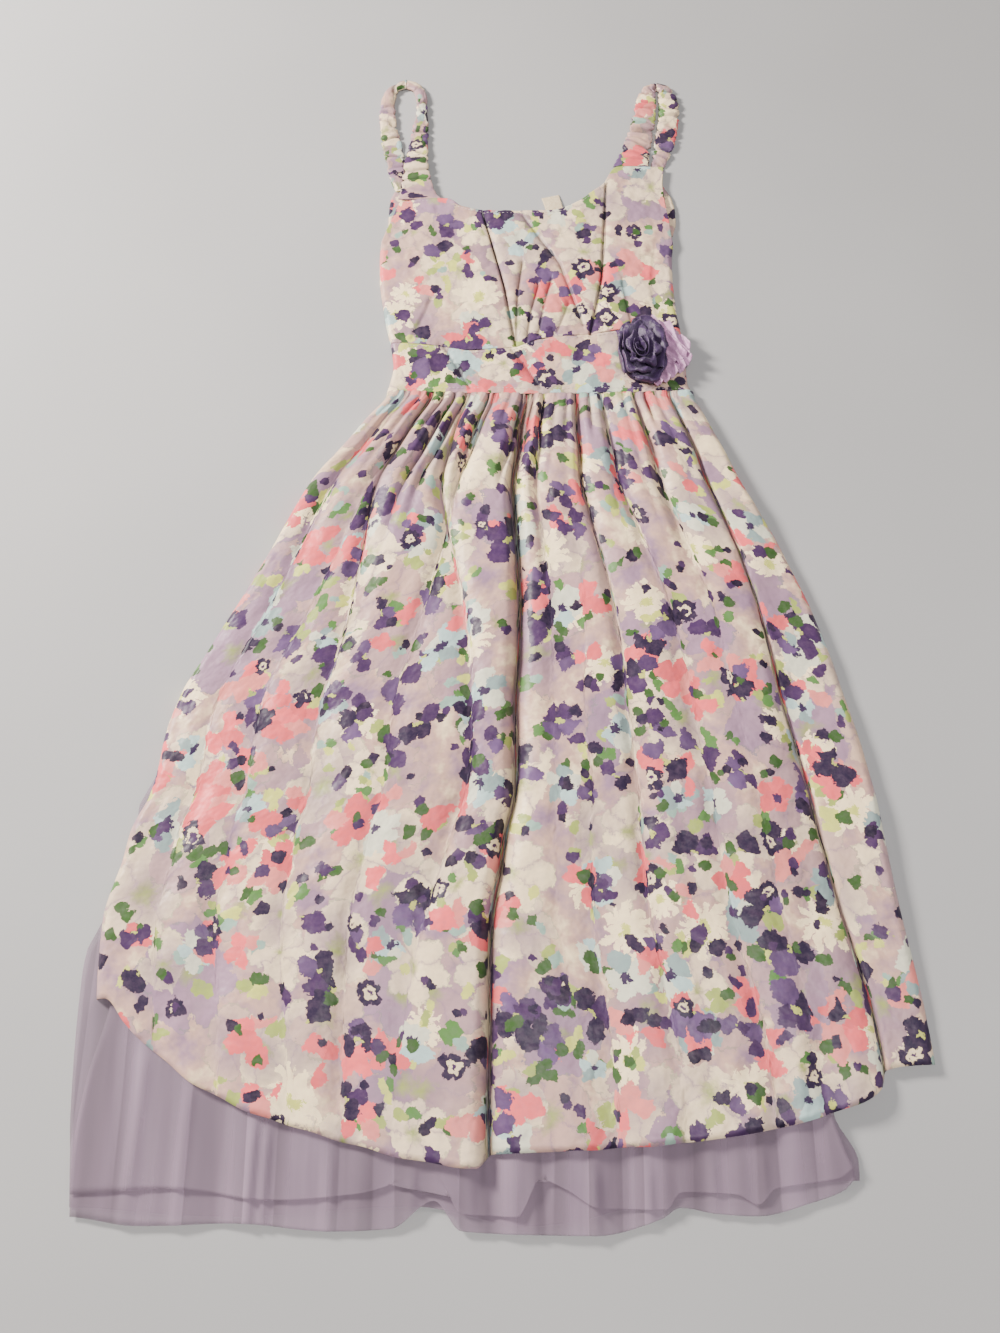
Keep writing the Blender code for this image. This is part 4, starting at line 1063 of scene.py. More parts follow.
def print_colour(make, vector):
    """The floral print: blossoms, leaves and buds of several kinds laid over each other."""
    use = settings()
    blush = blend_colour(use.ground, use.cream, 0.25)
    rosy = blend_colour(use.ground, use.lavender, 0.45)
    soft = make.noise(vector, 24.0, 4.0, 0.62).outputs[0]
    tones = [(0.36, use.lavender), (0.46, rosy), (0.55, use.ground), (0.68, use.cream)]
    colour = make.ramp(soft, stops_of(tones))

    # Two layers of large pale blossoms
    tones = [(0.0, rosy), (0.24, use.ground), (0.46, use.cream), (0.70, use.lavender, 1.1)]
    colour = blossom_layer(make, colour, vector, tones, cells=15.0, share=0.85, seed=1.0)
    tones = [(0.0, use.cream), (0.36, blush), (0.58, use.cream, 1.06), (0.82, rosy, 1.05)]
    colour = blossom_layer(make, colour, vector, tones, cells=18.0, share=0.50, seed=21.0)

    # Daisies with yellow-green eyes
    colour = motif_layer(
        make, colour, vector, [(0.0, use.cream, 1.05)], [(0.26, use.lime)],
        cells=22.0, petals=12.0, size=0.48, notch=0.55, share=0.20, seed=7.3)

    # Leaves from dark green to yellow-green
    fresh = blend_colour(use.leaf, use.lime, 0.5)
    bluish = blend_colour(use.aqua, use.leaf, 0.4)
    tones = [(0.0, use.leaf), (0.42, use.leaf, 0.50), (0.58, fresh), (0.76, use.lime), (0.90, bluish)]
    colour = motif_layer(
        make, colour, vector, tones,
        cells=39.0, petals=3.0, size=0.54, notch=0.66, share=0.46, stretch=1.5, seed=3.9, gaps=0.28)

    # Pale blue flowers with dark eyes
    tones = [(0.0, blend_colour(use.aqua, use.cream, 0.45)), (0.5, use.aqua), (0.8, use.aqua, 0.6)]
    colour = motif_layer(
        make, colour, vector, tones, [(0.24, use.navy, 1.6)],
        cells=27.0, petals=5.0, size=0.52, notch=0.42, share=0.17, seed=11.1)

    # Coral flowers with petals missing
    tones = [(0.0, use.coral), (0.58, blend_colour(use.coral, use.ground, 0.4)), (0.78, use.coral, 0.85)]
    colour = motif_layer(
        make, colour, vector, tones,
        cells=25.0, petals=5.0, size=0.56, notch=0.46, share=0.34, seed=5.2, gaps=0.32)

    # Dark violet flowers with yellow-green eyes
    tones = [
        (0.0, use.violet), (0.50, use.mauve), (0.62, use.violet, 1.15),
        (0.76, use.navy), (0.92, use.mauve, 1.3)]
    colour = motif_layer(
        make, colour, vector, tones, [(0.17, use.lime, 0.8)], use.navy,
        cells=26.0, petals=4.0, size=0.58, notch=0.50, share=0.40, stretch=1.2, seed=9.4, gaps=0.36)

    # A few small flowers with a dark ring
    colour = motif_layer(
        make, colour, vector, [(0.0, use.navy)], [(0.48, use.cream, 0.8), (0.16, use.violet)],
        cells=37.0, petals=5.0, size=0.42, notch=0.35, share=0.045, seed=13.7)

    # Small dark buds
    tones = [(0.0, use.navy), (0.50, use.violet), (0.72, use.leaf, 0.45), (0.88, use.navy, 0.7)]
    colour = motif_layer(
        make, colour, vector, tones,
        cells=50.0, petals=2.0, size=0.48, notch=0.50, share=0.36, stretch=1.4, seed=17.9, gaps=0.34)

    brush = make.noise(vector, 150.0, 3.0, 0.7).outputs[0]
    return make.mix(make.times(make.minus(brush, 0.4), 0.5), colour, rgba(use.lavender, 0.8))


# Painted shadow: the near-black that the print is mixed towards inside a narrow fold, where little light
# comes back
PAINTED_FOLD_SHADOW = (0.012, 0.009, 0.014, 1.0)

# Darker and lighter tone of the plain finishes
LABEL_TONES = ((0.74, 0.58, 0.36, 1.0), (0.86, 0.71, 0.48, 1.0))
THREAD_TONES = ((0.62, 0.50, 0.55, 1.0), (0.78, 0.68, 0.70, 1.0))
FLOOR_TONES = ((0.36, 0.36, 0.37, 1.0), (0.39, 0.39, 0.40, 1.0))


def shader_start(name, constants):
    """A new material whose shader has these constant values."""
    material = bpy.data.materials.new(name)
    material.use_nodes = True
    shader = material.node_tree.nodes["Principled BSDF"]
    for socket, value in constants.items():
        shader.inputs[socket].default_value = value
    return material, Nodes(material.node_tree), shader


def add_bump(make, shader, heights):
    """Stack bumps: each is a height, its strength and its distance in metres."""
    below = {}
    for height, strength, distance in heights:
        inputs = {"Strength": strength, "Distance": distance, "Height": height, **below}
        below = {"Normal": make.fed("ShaderNodeBump", inputs).outputs[0]}
    make.put(shader.inputs["Normal"], below["Normal"])


def weave(make, vector, pitch):
    """Height of a fine weave: warp and weft as two crossed waves."""
    parts = make.fed("ShaderNodeSeparateXYZ", {0: vector})
    warp = make.math("SINE", make.times(parts.outputs[0], 2 * math.pi / pitch))
    weft = make.math("SINE", make.times(parts.outputs[1], 2 * math.pi / (pitch * 1.6)))
    return make.times(warp, weft)


def printed_satin():
    """The print on a soft satin, with painted shade mixed into its colour inside the narrow folds."""
    material, make, shader = shader_start("Printed satin", {"Specular IOR Level": 0.20, "Sheen Weight": 0.05})
    spot = make.cloth_map()
    vector = make.vector("SCALE", spot, scale=1.0 / settings().print_scale)
    # Each point's painted shade mixes the print towards the painted shadow colour
    crease = make.new("ShaderNodeAttribute", attribute_name="PaintedShade").outputs["Fac"]
    make.put(shader.inputs["Base Color"], make.mix(crease, print_colour(make, vector), PAINTED_FOLD_SHADOW))
    gleam = make.noise(spot, 60.0, 3.0, 0.6).outputs[0]
    make.put(shader.inputs["Roughness"], make.plus(0.33, make.times(gleam, 0.16)))
    crumple = make.noise(spot, 34.0, 3.0, 0.5).outputs[0]
    add_bump(make, shader, [(crumple, 0.9, 0.005), (weave(make, spot, 0.0007), 0.1, 0.0001)])
    return material


def plain_satin(name, colour, roughness):
    material, make, shader = shader_start(name, {"Roughness": roughness, "Sheen Weight": 0.08})
    spot = make.cloth_map()
    shade = make.noise(spot, 120.0, 3.0, 0.6).outputs[0]
    make.put(shader.inputs["Base Color"], make.two_tones(shade, rgba(colour, 0.72), rgba(colour, 1.3)))
    crumple = make.noise(spot, 160.0, 3.0, 0.6).outputs[0]
    add_bump(make, shader, [(crumple, 0.5, 0.0015), (weave(make, spot, 0.0006), 0.3, 0.0001)])
    return material


def net_material():
    """See-through net, with soft streaks and sharper bands where it lies double."""
    material, make, shader = shader_start("Net", {"Roughness": 0.7, "Sheen Weight": 0.2, "Alpha": 0.52})
    spot = make.cloth_map()
    streaks = make.noise(make.vector("MULTIPLY", spot, (1.0, 0.06, 1.0)), 26.0, 4.0, 0.55).outputs[0]
    colour = settings().net_colour
    tone = make.ramp(streaks, stops_of([(0.36, colour, 0.72), (0.50, colour), (0.64, colour, 1.30)]))
    bands = make.noise(make.vector("MULTIPLY", spot, (1.0, 0.02, 1.0)), 19.0, 0.0).outputs[0]
    doubled = make.ramp(make.math("FRACT", make.times(bands, 5.0)), [
        (0.0, grey(0.0)), (0.5, grey(0.0)), (0.53, grey(1.0)), (1.0, grey(0.15))])
    make.put(shader.inputs["Base Color"], make.mix(make.times(doubled, 0.55), tone, rgba(colour, 0.48)))
    add_bump(make, shader, [(streaks, 0.35, 0.002), (weave(make, spot, 0.0012), 0.4, 0.0002)])
    return material


def label_material():
    material, make, shader = shader_start("Woven label", {"Roughness": 0.7})
    spot = make.cloth_map()
    shade = make.noise(spot, 300.0, 2.0, 0.5).outputs[0]
    make.put(shader.inputs["Base Color"], make.two_tones(shade, *LABEL_TONES))
    add_bump(make, shader, [(weave(make, spot, 0.0008), 0.8, 0.0002)])
    return material


def object_shaded(name, roughness, scale, tones):
    """A plain finish whose tone varies with the place in the object."""
    material, make, shader = shader_start(name, {"Roughness": roughness})
    spot = make.new("ShaderNodeTexCoord").outputs["Object"]
    shade = make.noise(spot, scale, 2.0, 0.5).outputs[0]
    make.put(shader.inputs["Base Color"], make.two_tones(shade, *tones))
    return material


def finish_of(name, maker, *given):
    return bpy.data.materials.get(name) or maker(*given)


def print_finish():
    return finish_of("Printed satin", printed_satin)


def thread_finish():
    return finish_of("Sewing thread", object_shaded, "Sewing thread", 0.6, 900.0, THREAD_TONES)


def floor_finish():
    return finish_of("Pale floor", object_shaded, "Pale floor", 0.8, 3.0, FLOOR_TONES)


def rose_finish():
    return finish_of("Violet satin", plain_satin, "Violet satin", settings().rose_colour, 0.48)


def petal_finish():
    return finish_of("Lilac satin", plain_satin, "Lilac satin", settings().petal_colour, 0.40)


# Pieces

def skirt_front_sheet():
    columns, rows = GRIDS["skirt_front"]
    p, q = grid_shares(columns, rows)
    column = p * columns - columns / 2
    flat = columns / 2 - SKIRT_TURN
    across = crowd_to_folds(np.clip(column / flat * 0.5 + 0.5, 0, 1), q)
    length = SKIRT_HEM.at("drop", across)
    drop = q ** SKIRT_ROW_POWER * length + GAP / 2
    share = np.clip(drop / length, 0, 1)
    half = skirt_half(drop)
    x = skirt_centre(drop) + across * (half - SKIRT_ROLL)
    z = skirt_top(x, drop, True) + skirt_unevenness(x, drop, across)

    # The rounded sides, which stand on the floor or at the left on the net
    side = np.sign(column)
    angle = np.clip((np.abs(column) - flat) / SKIRT_TURN, 0, 1) * math.pi / 2
    on_net = ease((drop - NET_SHOWS_FROM) / NET_FLAP_FADE)
    left_foot = lerp(EDGE_FOOT, NET_BACK_LEVEL + GAP + FOLD_ON_NET_CLEARANCE, on_net)
    foot = np.where(side > 0, EDGE_FOOT, left_foot)
    u = cloth_across(across, share, half, drop) + side * SKIRT_ROLL * angle
    x = x + side * SKIRT_ROLL * np.sin(angle)
    z = foot + (z - foot) * np.cos(angle)

    hem_wave = HEM_WOBBLE * share ** HEM_WOBBLE_POWER * ripple(x, np.zeros_like(x), HEM_WOBBLE_PITCH, 61)
    y = waist_y(across) - drop + hem_wave
    sheet = grid_mesh("skirt_front_cloth", x, y, z, u, -drop, SHELL, print_finish())
    # Painted shade in the narrow folds and gathers, kept on the points for the material
    return with_painted_shade(sheet, skirt_painted_shade(across, share, half, drop))


def skirt_unevenness(x, drop, across):
    """Fine gathers at the seam, soft waves along the skirt and wrinkles over it."""
    near_seam = 1 - ease(drop / FINE_GATHER_RUN)
    phase = (across + 0.012 * np.sin(drop / FINE_GATHER_WANDER)) * FINE_GATHERS * math.pi
    gathers = FINE_GATHER_HEIGHT * near_seam * (np.sin(phase + 1.3 * np.sin(phase * 0.37)) - 0.2)
    free = ease(drop / FREE_OF_SEAM)
    spread = 1 + WAVE_SPREAD * drop
    waves = WAVE_HEIGHT * free * (0.55 + ripple(x / spread, drop * 0.12, WAVE_PITCH, 5))
    small = ease(ripple(x, drop, SKIRT_WRINKLED_PATCH, 3) + 0.4) * ripple(x, drop, SKIRT_SMALL_WRINKLE, 15)
    wrinkles = ripple(x, drop * 0.5, SKIRT_WRINKLE, 9) + 0.6 * small
    return gathers + waves + settings().wrinkle * free * wrinkles


def skirt_back_sheet():
    p, q = grid_shares(*GRIDS["skirt_back"])
    across = 2 * p - 1
    drop = GAP / 2 + q ** BACK_ROW_POWER * (SKIRT_HEM.at("drop", across) - BACK_SHORTER)
    x = skirt_centre(drop) + across * (skirt_half(drop) - BACK_INSET)
    y = waist_y(across) - drop
    u = x + PRINT_AT["skirt_back"][0]
    return grid_mesh("skirt_back_cloth", x, y, np.full_like(x, CLOTH), u, y, SKIRT_BACK_SHELL, print_finish())


def net_sheet(name, level, share, sides, hem):
    """A net layer: a few rows under the skirt, then fine rows where it shows."""
    hidden = np.linspace(NET_FIRST_ROW, NET_LAST_HIDDEN, NET_HIDDEN_ROWS)
    round_hem = np.linspace(NET_HEM_START, NET_HEM_END, NET_HEM_ROWS)
    past_hem = np.linspace(0.0, 1.0, NET_FREE_ROWS + 1)[1:]
    of_skirt = np.concatenate([hidden, round_hem, np.full(NET_FREE_ROWS, NET_HEM_END)])[:, None]
    past = np.concatenate([np.zeros(NET_HIDDEN_ROWS + NET_HEM_ROWS), past_hem])[:, None]
    p, _ = grid_shares(NET_COLUMNS, len(of_skirt) - 1)
    drop = of_skirt * SKIRT_HEM.at("drop", 2 * p - 1)
    for _ in range(NET_SETTLE_ROUNDS):
        x = lerp(sides.at("left", drop), sides.at("right", drop), p)
        across = np.clip(skirt_across(x, drop), -1, 1)
        drop = lerp(of_skirt * SKIRT_HEM.at("drop", across), hem.at("drop", x), past)

    low = lift(x, drop)
    reach = NET_HIDDEN_REACH * (1 - ease((of_skirt - NET_HEM_START) / 0.05))
    for step in (-1, -0.5, 0.5, 1):
        low = np.minimum(low, lift(x + step * reach, drop))
    z = level - bed(x, drop) + share * (low * NET_UNDER_SHARE + net_pleats(x, drop))

    shows = share * ease((drop / SKIRT_HEM.at("drop", across) - 0.99) / 0.04)
    broad = 2.2 * ripple(x, drop * 0.12, NET_WAVE_PITCH, 21)
    small = 0.5 * ripple(x, drop * 0.25, NET_SMALL_WAVE_PITCH, 23)
    z = z + shows * MM * (1.0 + broad + small)
    for middle, width, height in NET_FOLDS:
        away = x - middle * MM * (1 + NET_FOLD_FLARE * (drop / NET_LENGTH - 1))
        z = z + shows * height * MM * np.exp(-(away / (width * MM)) ** 2)
    y = waist_y(skirt_across(x, drop)) - drop
    return grid_mesh(name, x, y, z, x, y, NET_SHELL, finish_of("Net", net_material))


def cloth_wrinkles(x, rise, seed):
    broad = ripple(x, rise * 1.3, BODICE_BROAD_WRINKLE, seed)
    fine = ripple(x, rise, BODICE_WRINKLE, seed + 2) + 0.6 * ripple(x, rise, BODICE_SMALL_WRINKLE, seed + 6)
    pucker = np.maximum(ripple(x * 1.2 + rise, rise * 0.45, BODICE_PUCKER, seed + 9), 0) ** 2
    return settings().wrinkle * (1.6 * broad + fine + 1.1 * pucker)


def panel_edge(seam, side, rise):
    """Where a front panel ends: at its seam, or at the rounded side of the bodice."""
    inward = 1 if side == "left" else -1
    if seam is None:
        return BODICE_SIDES.at(side, rise) + inward * BODICE_ROLL
    return seam.at("x", rise) + inward * GAP / 2


def bodice_ends(x, _):
    """Rises between which a bodice panel lies."""
    return BAND_TOP.at("rise", x) + GAP, NECKLINE.at("rise", x)


def band_ends(x, share):
    """Rises between which the waist band lies."""
    return waist_y(2 * share - 1) + GAP / 2, BAND_TOP.at("rise", x)


def front_panel(name, grid, seams, ends, about, print_at, seed):
    """A front panel between its seams, with a rounded side where a seam is None.

    ends gives the rises of its lower and upper end, and about is where they
    are first looked for.
    """
    columns, rows = grid
    left_seam, right_seam = seams
    p, q = grid_shares(columns, rows)
    column = p * columns
    first = 0 if left_seam else BODICE_TURN
    last = columns if right_seam else columns - BODICE_TURN
    share = np.clip((column - first) / (last - first), 0, 1)
    turned = np.clip(np.maximum(first - column, column - last) / BODICE_TURN, 0, 1)
    side = np.where(p < 0.5, -1, 1)
    rise = lerp(*about, q)
    for _ in range(SETTLE_ROUNDS):
        left = panel_edge(left_seam, "left", rise)
        right = panel_edge(right_seam, "right", rise)
        x = lerp(left, right, share)
        rise = lerp(*ends(x, share), q)
    z = bodice_top(x, rise, True) + cloth_wrinkles(x, rise, seed)
    u = x + side * BODICE_ROLL * turned * SIDE_FULLNESS + print_at[0]
    # Painted shade along the tucks, kept on the points for the material
    shade = bodice_painted_shade(x, rise)
    x, z = roll_side(x, rise, z, side, turned)
    panel = grid_mesh(name, x, rise, z, u, rise + print_at[1], SHELL, print_finish())
    return with_painted_shade(panel, shade)


def roll_side(x, rise, z, side, turned):
    """Turn the outer columns down to the floor, but leave them flat along the armhole."""
    rolled = 1 - ease((rise - UNDERARM) / (ARMHOLE_START - UNDERARM))
    angle = turned * math.pi / 2
    x = x + side * BODICE_ROLL * lerp(turned, np.sin(angle), rolled)
    down = EDGE_FOOT + (z - EDGE_FOOT) * np.cos(angle)
    return x, np.where(turned > 0, lerp(z, down, rolled), z)


def back_panel(name, grid, low, top):
    """A stretch of the elasticated back, shirred in rows across it."""
    p, q = grid_shares(*grid)
    rise = lerp(low, NECK_ABOUT, q)
    for _ in range(SETTLE_ROUNDS):
        x = lerp(BODICE_BACK_SIDES.at("left", rise), BODICE_BACK_SIDES.at("right", rise), p)
        high = top.at("rise", x) if isinstance(top, Table) else top
        start = low if low > 0 else waist_y(2 * p - 1) + GAP / 2
        rise = lerp(start, high, q)
    shirring = SHIRRING_DEPTH * (0.5 - 0.5 * np.cos(rise / SHIRRING_PITCH * 2 * math.pi))
    puckers = PUCKER_DEPTH * (0.5 + 0.5 * np.sin(x / PUCKER_PITCH * 2 * math.pi))
    u = x + PRINT_AT["back"][0]
    return grid_mesh(name, x, rise, SHIRRED - shirring - puckers, u, rise, BACK_SHELL, print_finish())


def strap_direction(line, along):
    """Which way a strap runs at each place, with its two ends square to their seams."""
    before = np.clip(along - STRAP_LOOK, 0, 1)
    after = np.clip(along + STRAP_LOOK, 0, 1)
    run_x = line.at("x", after) - line.at("x", before)
    run_y = line.at("rise", after) - line.at("rise", before)
    length = np.hypot(run_x, run_y)
    square_start = 1 - ease(along / STRAP_SQUARE_START)
    square_end = ease((along - STRAP_SQUARE_END) / STRAP_SQUARE_RUN)
    run_x = run_x / length * (1 - square_start)
    run_y = lerp(run_y / length, 1.0, square_start) * (1 - square_end)
    length = np.hypot(run_x, run_y)
    return run_x / length, run_y / length


def strap_ruches(along, turn, seed):
    """The gathers that pinch a strap, uneven in place, slant and depth, and the fine folds on them."""
    slant = 0.022 * np.sin(along * 19 + seed) + 0.012
    slide = along + slant * np.cos(turn) + 0.016 * np.sin(along * 31 + seed)
    slide = slide + 0.007 * np.sin(along * 67 + 2 * seed) + 0.005 * np.sin(3 * turn + along * 40)
    valley = (0.5 + 0.5 * np.cos(slide * STRAP_RUCHES * 2 * math.pi)) ** 2.5
    valley = valley * (0.65 + 0.35 * np.sin(slide * 43 + 3 * seed))
    valley = valley * ease((along - 0.02) / 0.16)
    fine = np.sin(slide * STRAP_RUCHES * 5.3 * math.pi + 2.5 * np.sin(turn + seed))
    return valley, fine


def strap_tube(name):
    """A ruched strap as a closed tube whose gathers pinch it."""
    line = Table(STRAP_COLUMNS, STRAPS[name], "along")
    turns = np.arange(STRAP_SIDES) / STRAP_SIDES * 2 * math.pi
    along, turn = np.meshgrid(np.linspace(0, 1, STRAP_RINGS + 1), turns, indexing="ij")
    seed = sum(name.encode()) % 17
    valley, fine = strap_ruches(along, turn, seed)
    bump = 1 - settings().ruche_depth * valley - 0.035 * (1 + fine)
    flare = STRAP_FLARES.get(name, 0) * (1 - ease(along / STRAP_FLARE_RUN))
    sideways = 0.5 * (line.at("width", along) + flare) * (1 - 0.75 * (1 - bump)) * np.cos(turn)
    sideways = sideways + 0.45 * flare * (1 if "left" in name else -1)
    run_x, run_y = strap_direction(line, along)
    x = line.at("x", along) + sideways * run_y
    y = line.at("rise", along) - sideways * run_x
    top_share = 0.5 + 0.5 * np.sin(turn)
    z = line.at("under", along) + line.at("height", along) * bump * top_share + STRAP_FOOT
    middle_line = np.hypot(np.diff(line.at("x", along[:, 0])), np.diff(line.at("rise", along[:, 0])))
    cloth_length = STRAP_FULLNESS * middle_line.sum()
    mesh = tube_mesh(name + "_cloth", in_frame(x, y, z), cloth_length, seed * STRAP_PRINT_STEP)
    # Painted shade in the gathers' valleys, strongest on the strap's upper side
    return with_painted_shade(walled(mesh, SHELL), STRAP_PAINTED_SHADE * valley * top_share)


def tube_mesh(name, points, cloth_length, print_step):
    """A closed tube from rings of points, with the print along it."""
    rings, sides = points.shape[0] - 1, points.shape[1]
    faces = []
    for ring in range(rings):
        for side in range(sides):
            a = ring * sides + side
            b = ring * sides + (side + 1) % sides
            faces.append((a, b, b + sides, a + sides))
    faces.append(tuple(range(sides))[::-1])
    faces.append(tuple(rings * sides + side for side in range(sides)))
    mesh = bpy.data.meshes.new(name)
    mesh.from_pydata(points.reshape(-1, 3).tolist(), [], faces)
    layer = mesh.uv_layers.new(name="Cloth")
    start = PRINT_AT["straps"][0] + print_step
    for loop in mesh.loops:
        ring, side = divmod(loop.vertex_index, sides)
        layer.data[loop.index].uv = (start + side / sides * STRAP_PRINT_WIDTH, ring / rings * cloth_length)
    mesh.materials.append(print_finish())
    fixed = bmesh.new()
    fixed.from_mesh(mesh)
    bmesh.ops.recalc_face_normals(fixed, faces=fixed.faces)
    fixed.to_mesh(mesh)
    fixed.free()
    mesh.shade_smooth()
    return mesh


def rose_place(out, angle, height):
    """A point of the rose: out is a share of its half sizes, with its heart set off to the left."""
    heart = 1 - np.clip(out, 0, 1)
    x = ROSE_CENTRE_X + ROSE_HALF_WIDTH * (out * np.cos(angle) + ROSE_HEART_X * heart)
    y = ROSE_CENTRE_RISE + ROSE_HALF_LENGTH * (out * np.sin(angle) + ROSE_HEART_Y * heart)
    return x, y, front_top(x, y) + ROSE_CLEARANCE + np.maximum(height, ROSE_LOWEST)


def rose_crumple(x, y, seed):
    """Height of the small hard folds of crumpled satin."""
    folds = np.abs(ripple(x, y * 0.8, ROSE_CRUMPLE_PITCH, seed))
    folds = folds + 0.5 * np.abs(ripple(x + y, y, ROSE_SMALL_CRUMPLE_PITCH, seed + 3))
    return ROSE_CRUMPLE * (0.6 - folds)


def rose_base():
    """The bunched satin under the petals."""
    t, q = grid_shares(*GRIDS["rose_base"], across=(0, 2 * math.pi), along=(0.02, 1))
    x, y, z = rose_place(ROSE_BASE_REACH * q, t, ROSE_BASE_HEIGHT * (1 - q ** 3))
    return grid_mesh("rose_base", x, y, z, x, y, ROSE_SHELL, rose_finish())


def rose_heart():
    """The rose's heart: a ribbon wound up loosely, with a soft upper edge."""
    t, q = grid_shares(*GRIDS["rose_heart"])
    angle = t * settings().rose_turns * 2 * math.pi + 2.2
    out = 0.05 + 0.24 * t + 0.05 * q ** 2 + 0.035 * np.sin(angle * 2.3 + q)
    height = ROSE_HEIGHT * (lerp(0.5, 0.95, q ** 0.7) - 0.10 * t)
    x, y, z = rose_place(out, angle, height)
    z = z + q * rose_crumple(x, y, 5)
    return grid_mesh("rose_heart", x, y, z, angle * 0.006, q * 0.012, ROSE_SHELL, rose_finish())


def rose_petal(name, petal, seed):
    """One folded petal: it rises from the heart, bends over at its rim and crumples."""
    radius, rim, middle, spread, crumple = petal
    p, q = grid_shares(*GRIDS["rose_petal"], across=(-1, 1))
    edge = np.sqrt(np.clip(1 - np.abs(p) ** 5, 0, 1))
    angle = middle + spread * p * (1 - 0.15 * q)
    wave = 0.055 * np.sin(3.6 * p + seed) + 0.035 * np.sin(8.3 * p - 2 * q + 2 * seed)
    out = radius + PETAL_SHAPE.at("out", q) * (0.5 + 0.5 * edge) + crumple * wave * q
    fold = 1.5 * MM * np.sin(4.7 * p + 3 * q + seed) * (0.3 + 0.7 * q)
    height = rim * MM + PETAL_SHAPE.at("up", q) - 1.8 * MM * (1 - edge) + crumple * fold
    x, y, z = rose_place(np.clip(out, 0.02, 1.0), angle, height)
    z = z + crumple * q * rose_crumple(x, y, int(seed * 3) + 2)
    return grid_mesh(name, x, y, z, angle * 0.02, q * 0.02 + seed, ROSE_SHELL, rose_finish())


def petal_fan(name, start, end, reach, lift_by, seed):
    """One crumpled petal that fans out from behind the rose."""
    p, q = grid_shares(*GRIDS["petal_fan"])
    angle = lerp(start, end, p)
    pointed = 0.80 + 0.20 * np.exp(-((angle + 0.12) / 0.55) ** 2)
    outer = reach * pointed * (1 + 0.025 * np.sin(p * 13 + seed) + 0.012 * np.sin(p * 31 + 2 * seed))
    outer = lerp(1.02, outer, np.sin(p * math.pi) ** 0.4)
    out = lerp(0.78, outer, q)
    x = ROSE_CENTRE_X + ROSE_HALF_WIDTH * out * np.cos(angle) * PETALS_STRETCH
    y = ROSE_CENTRE_RISE + ROSE_HALF_LENGTH * lerp(out, 1.05, 0.85 * q) * np.sin(angle)

    # Hard folds that run slantwise over the petal, finer ones on them, and a curl at the rim
    slope = (0.86 * x + 0.50 * y + 2.5 * MM * np.sin(y / (9 * MM) + seed)) / PETAL_FOLD_PITCH
    folds = 7.5 * MM * (1 - np.abs(np.sin(slope * math.pi + seed)) ** 0.7) * (0.45 + 0.55 * q)
    fine = 2.0 * MM * (1 - np.abs(np.sin(slope * 2.7 * math.pi - 3 * q + 2 * seed))) * (0.3 + 0.7 * q)
    bulge = 5.0 * MM * (1 - q) * q
    curl = np.maximum(1.5 * MM * q ** 4 * np.sin(p * 8 + seed), -0.5 * MM)
    ground = front_top(np.minimum(x, PETALS_GROUND_EDGE), y) + PETALS_CLEARANCE
    z = ground + lift_by * MM + folds + fine + bulge + curl
    return grid_mesh(name, x, y, z, x * 2, y, PETAL_SHELL, petal_finish())


def label_sheet():
    """The blank woven label, a folded tape that leans to the left and bows a little."""
    p, q = grid_shares(*GRIDS["label"])
    x = LABEL_LEFT + p * LABEL_WIDTH + (1 - q) * LABEL_LEAN
    y = LABEL_RISE + q * (LABEL_LENGTH + p * LABEL_SLOPE)
    z = LABEL_LEVEL + LABEL_BOW * np.sin(q * math.pi) * (0.7 + 0.3 * np.sin(p * math.pi))
    return grid_mesh("neck_label_tape", x, y, z, x, y, LABEL_SHELL, finish_of("Woven label", label_material))


# Stitches by Geometry Nodes

def stitch_tree():
    """Stitches along a guide curve: even steps, a slight turn, one colour."""
    tree = bpy.data.node_groups.new("Stitches", "GeometryNodeTree")
    face = tree.interface
    face.new_socket("Geometry", in_out="INPUT", socket_type="NodeSocketGeometry")
    for name, value in (("Length", 0.0026), ("Step", 0.0038), ("Thickness", 0.00045), ("Slant", 0.12)):
        socket = face.new_socket(name, in_out="INPUT", socket_type="NodeSocketFloat")
        socket.default_value = value
    face.new_socket("Seed", in_out="INPUT", socket_type="NodeSocketInt").default_value = 1
    face.new_socket("Thread", in_out="INPUT", socket_type="NodeSocketMaterial")
    face.new_socket("Geometry", in_out="OUTPUT", socket_type="NodeSocketGeometry")
    make = Nodes(tree)
    given = make.new("NodeGroupInput").outputs
    curve = make.fed("GeometryNodeMeshToCurve", {"Mesh": given["Geometry"]}).outputs[0]
    points = make.fed("GeometryNodeCurveToPoints", {"Curve": curve, "Length": given["Step"]}, mode="LENGTH")
    ball = make.fed("GeometryNodeMeshUVSphere", {"Segments": 6, "Rings": 4, "Radius": 0.5})
    thickness = given["Thickness"]
    size = make.fed("ShaderNodeCombineXYZ", {0: thickness, 1: thickness, 2: given["Length"]})
    shape = make.fed("GeometryNodeTransform", {"Geometry": ball.outputs["Mesh"], "Scale": size.outputs[0]})

    # Each stitch is turned a little at random about the guide's own direction
    slant = make.fed("ShaderNodeCombineXYZ", {0: given["Slant"], 1: given["Slant"]}).outputs[0]
    limits = {"Min": make.vector("SCALE", slant, scale=-1.0), "Max": slant, "Seed": given["Seed"]}
    turn = make.fed("FunctionNodeRandomValue", limits, data_type="FLOAT_VECTOR").outputs[0]
    extra = make.fed("FunctionNodeEulerToRotation", {0: turn}).outputs[0]
    along = points.outputs["Rotation"]
    spin = make.fed("FunctionNodeRotateRotation", {0: along, 1: extra}, rotation_space="LOCAL").outputs[0]
    placed = {"Points": points.outputs["Points"], "Instance": shape.outputs[0], "Rotation": spin}
    copies = make.fed("GeometryNodeInstanceOnPoints", placed).outputs[0]
    real = make.fed("GeometryNodeRealizeInstances", {0: copies}).outputs[0]
    paint = make.fed("GeometryNodeSetMaterial", {"Geometry": real, "Material": given["Thread"]})
    make.fed("NodeGroupOutput", {0: paint.outputs[0]})
    return tree


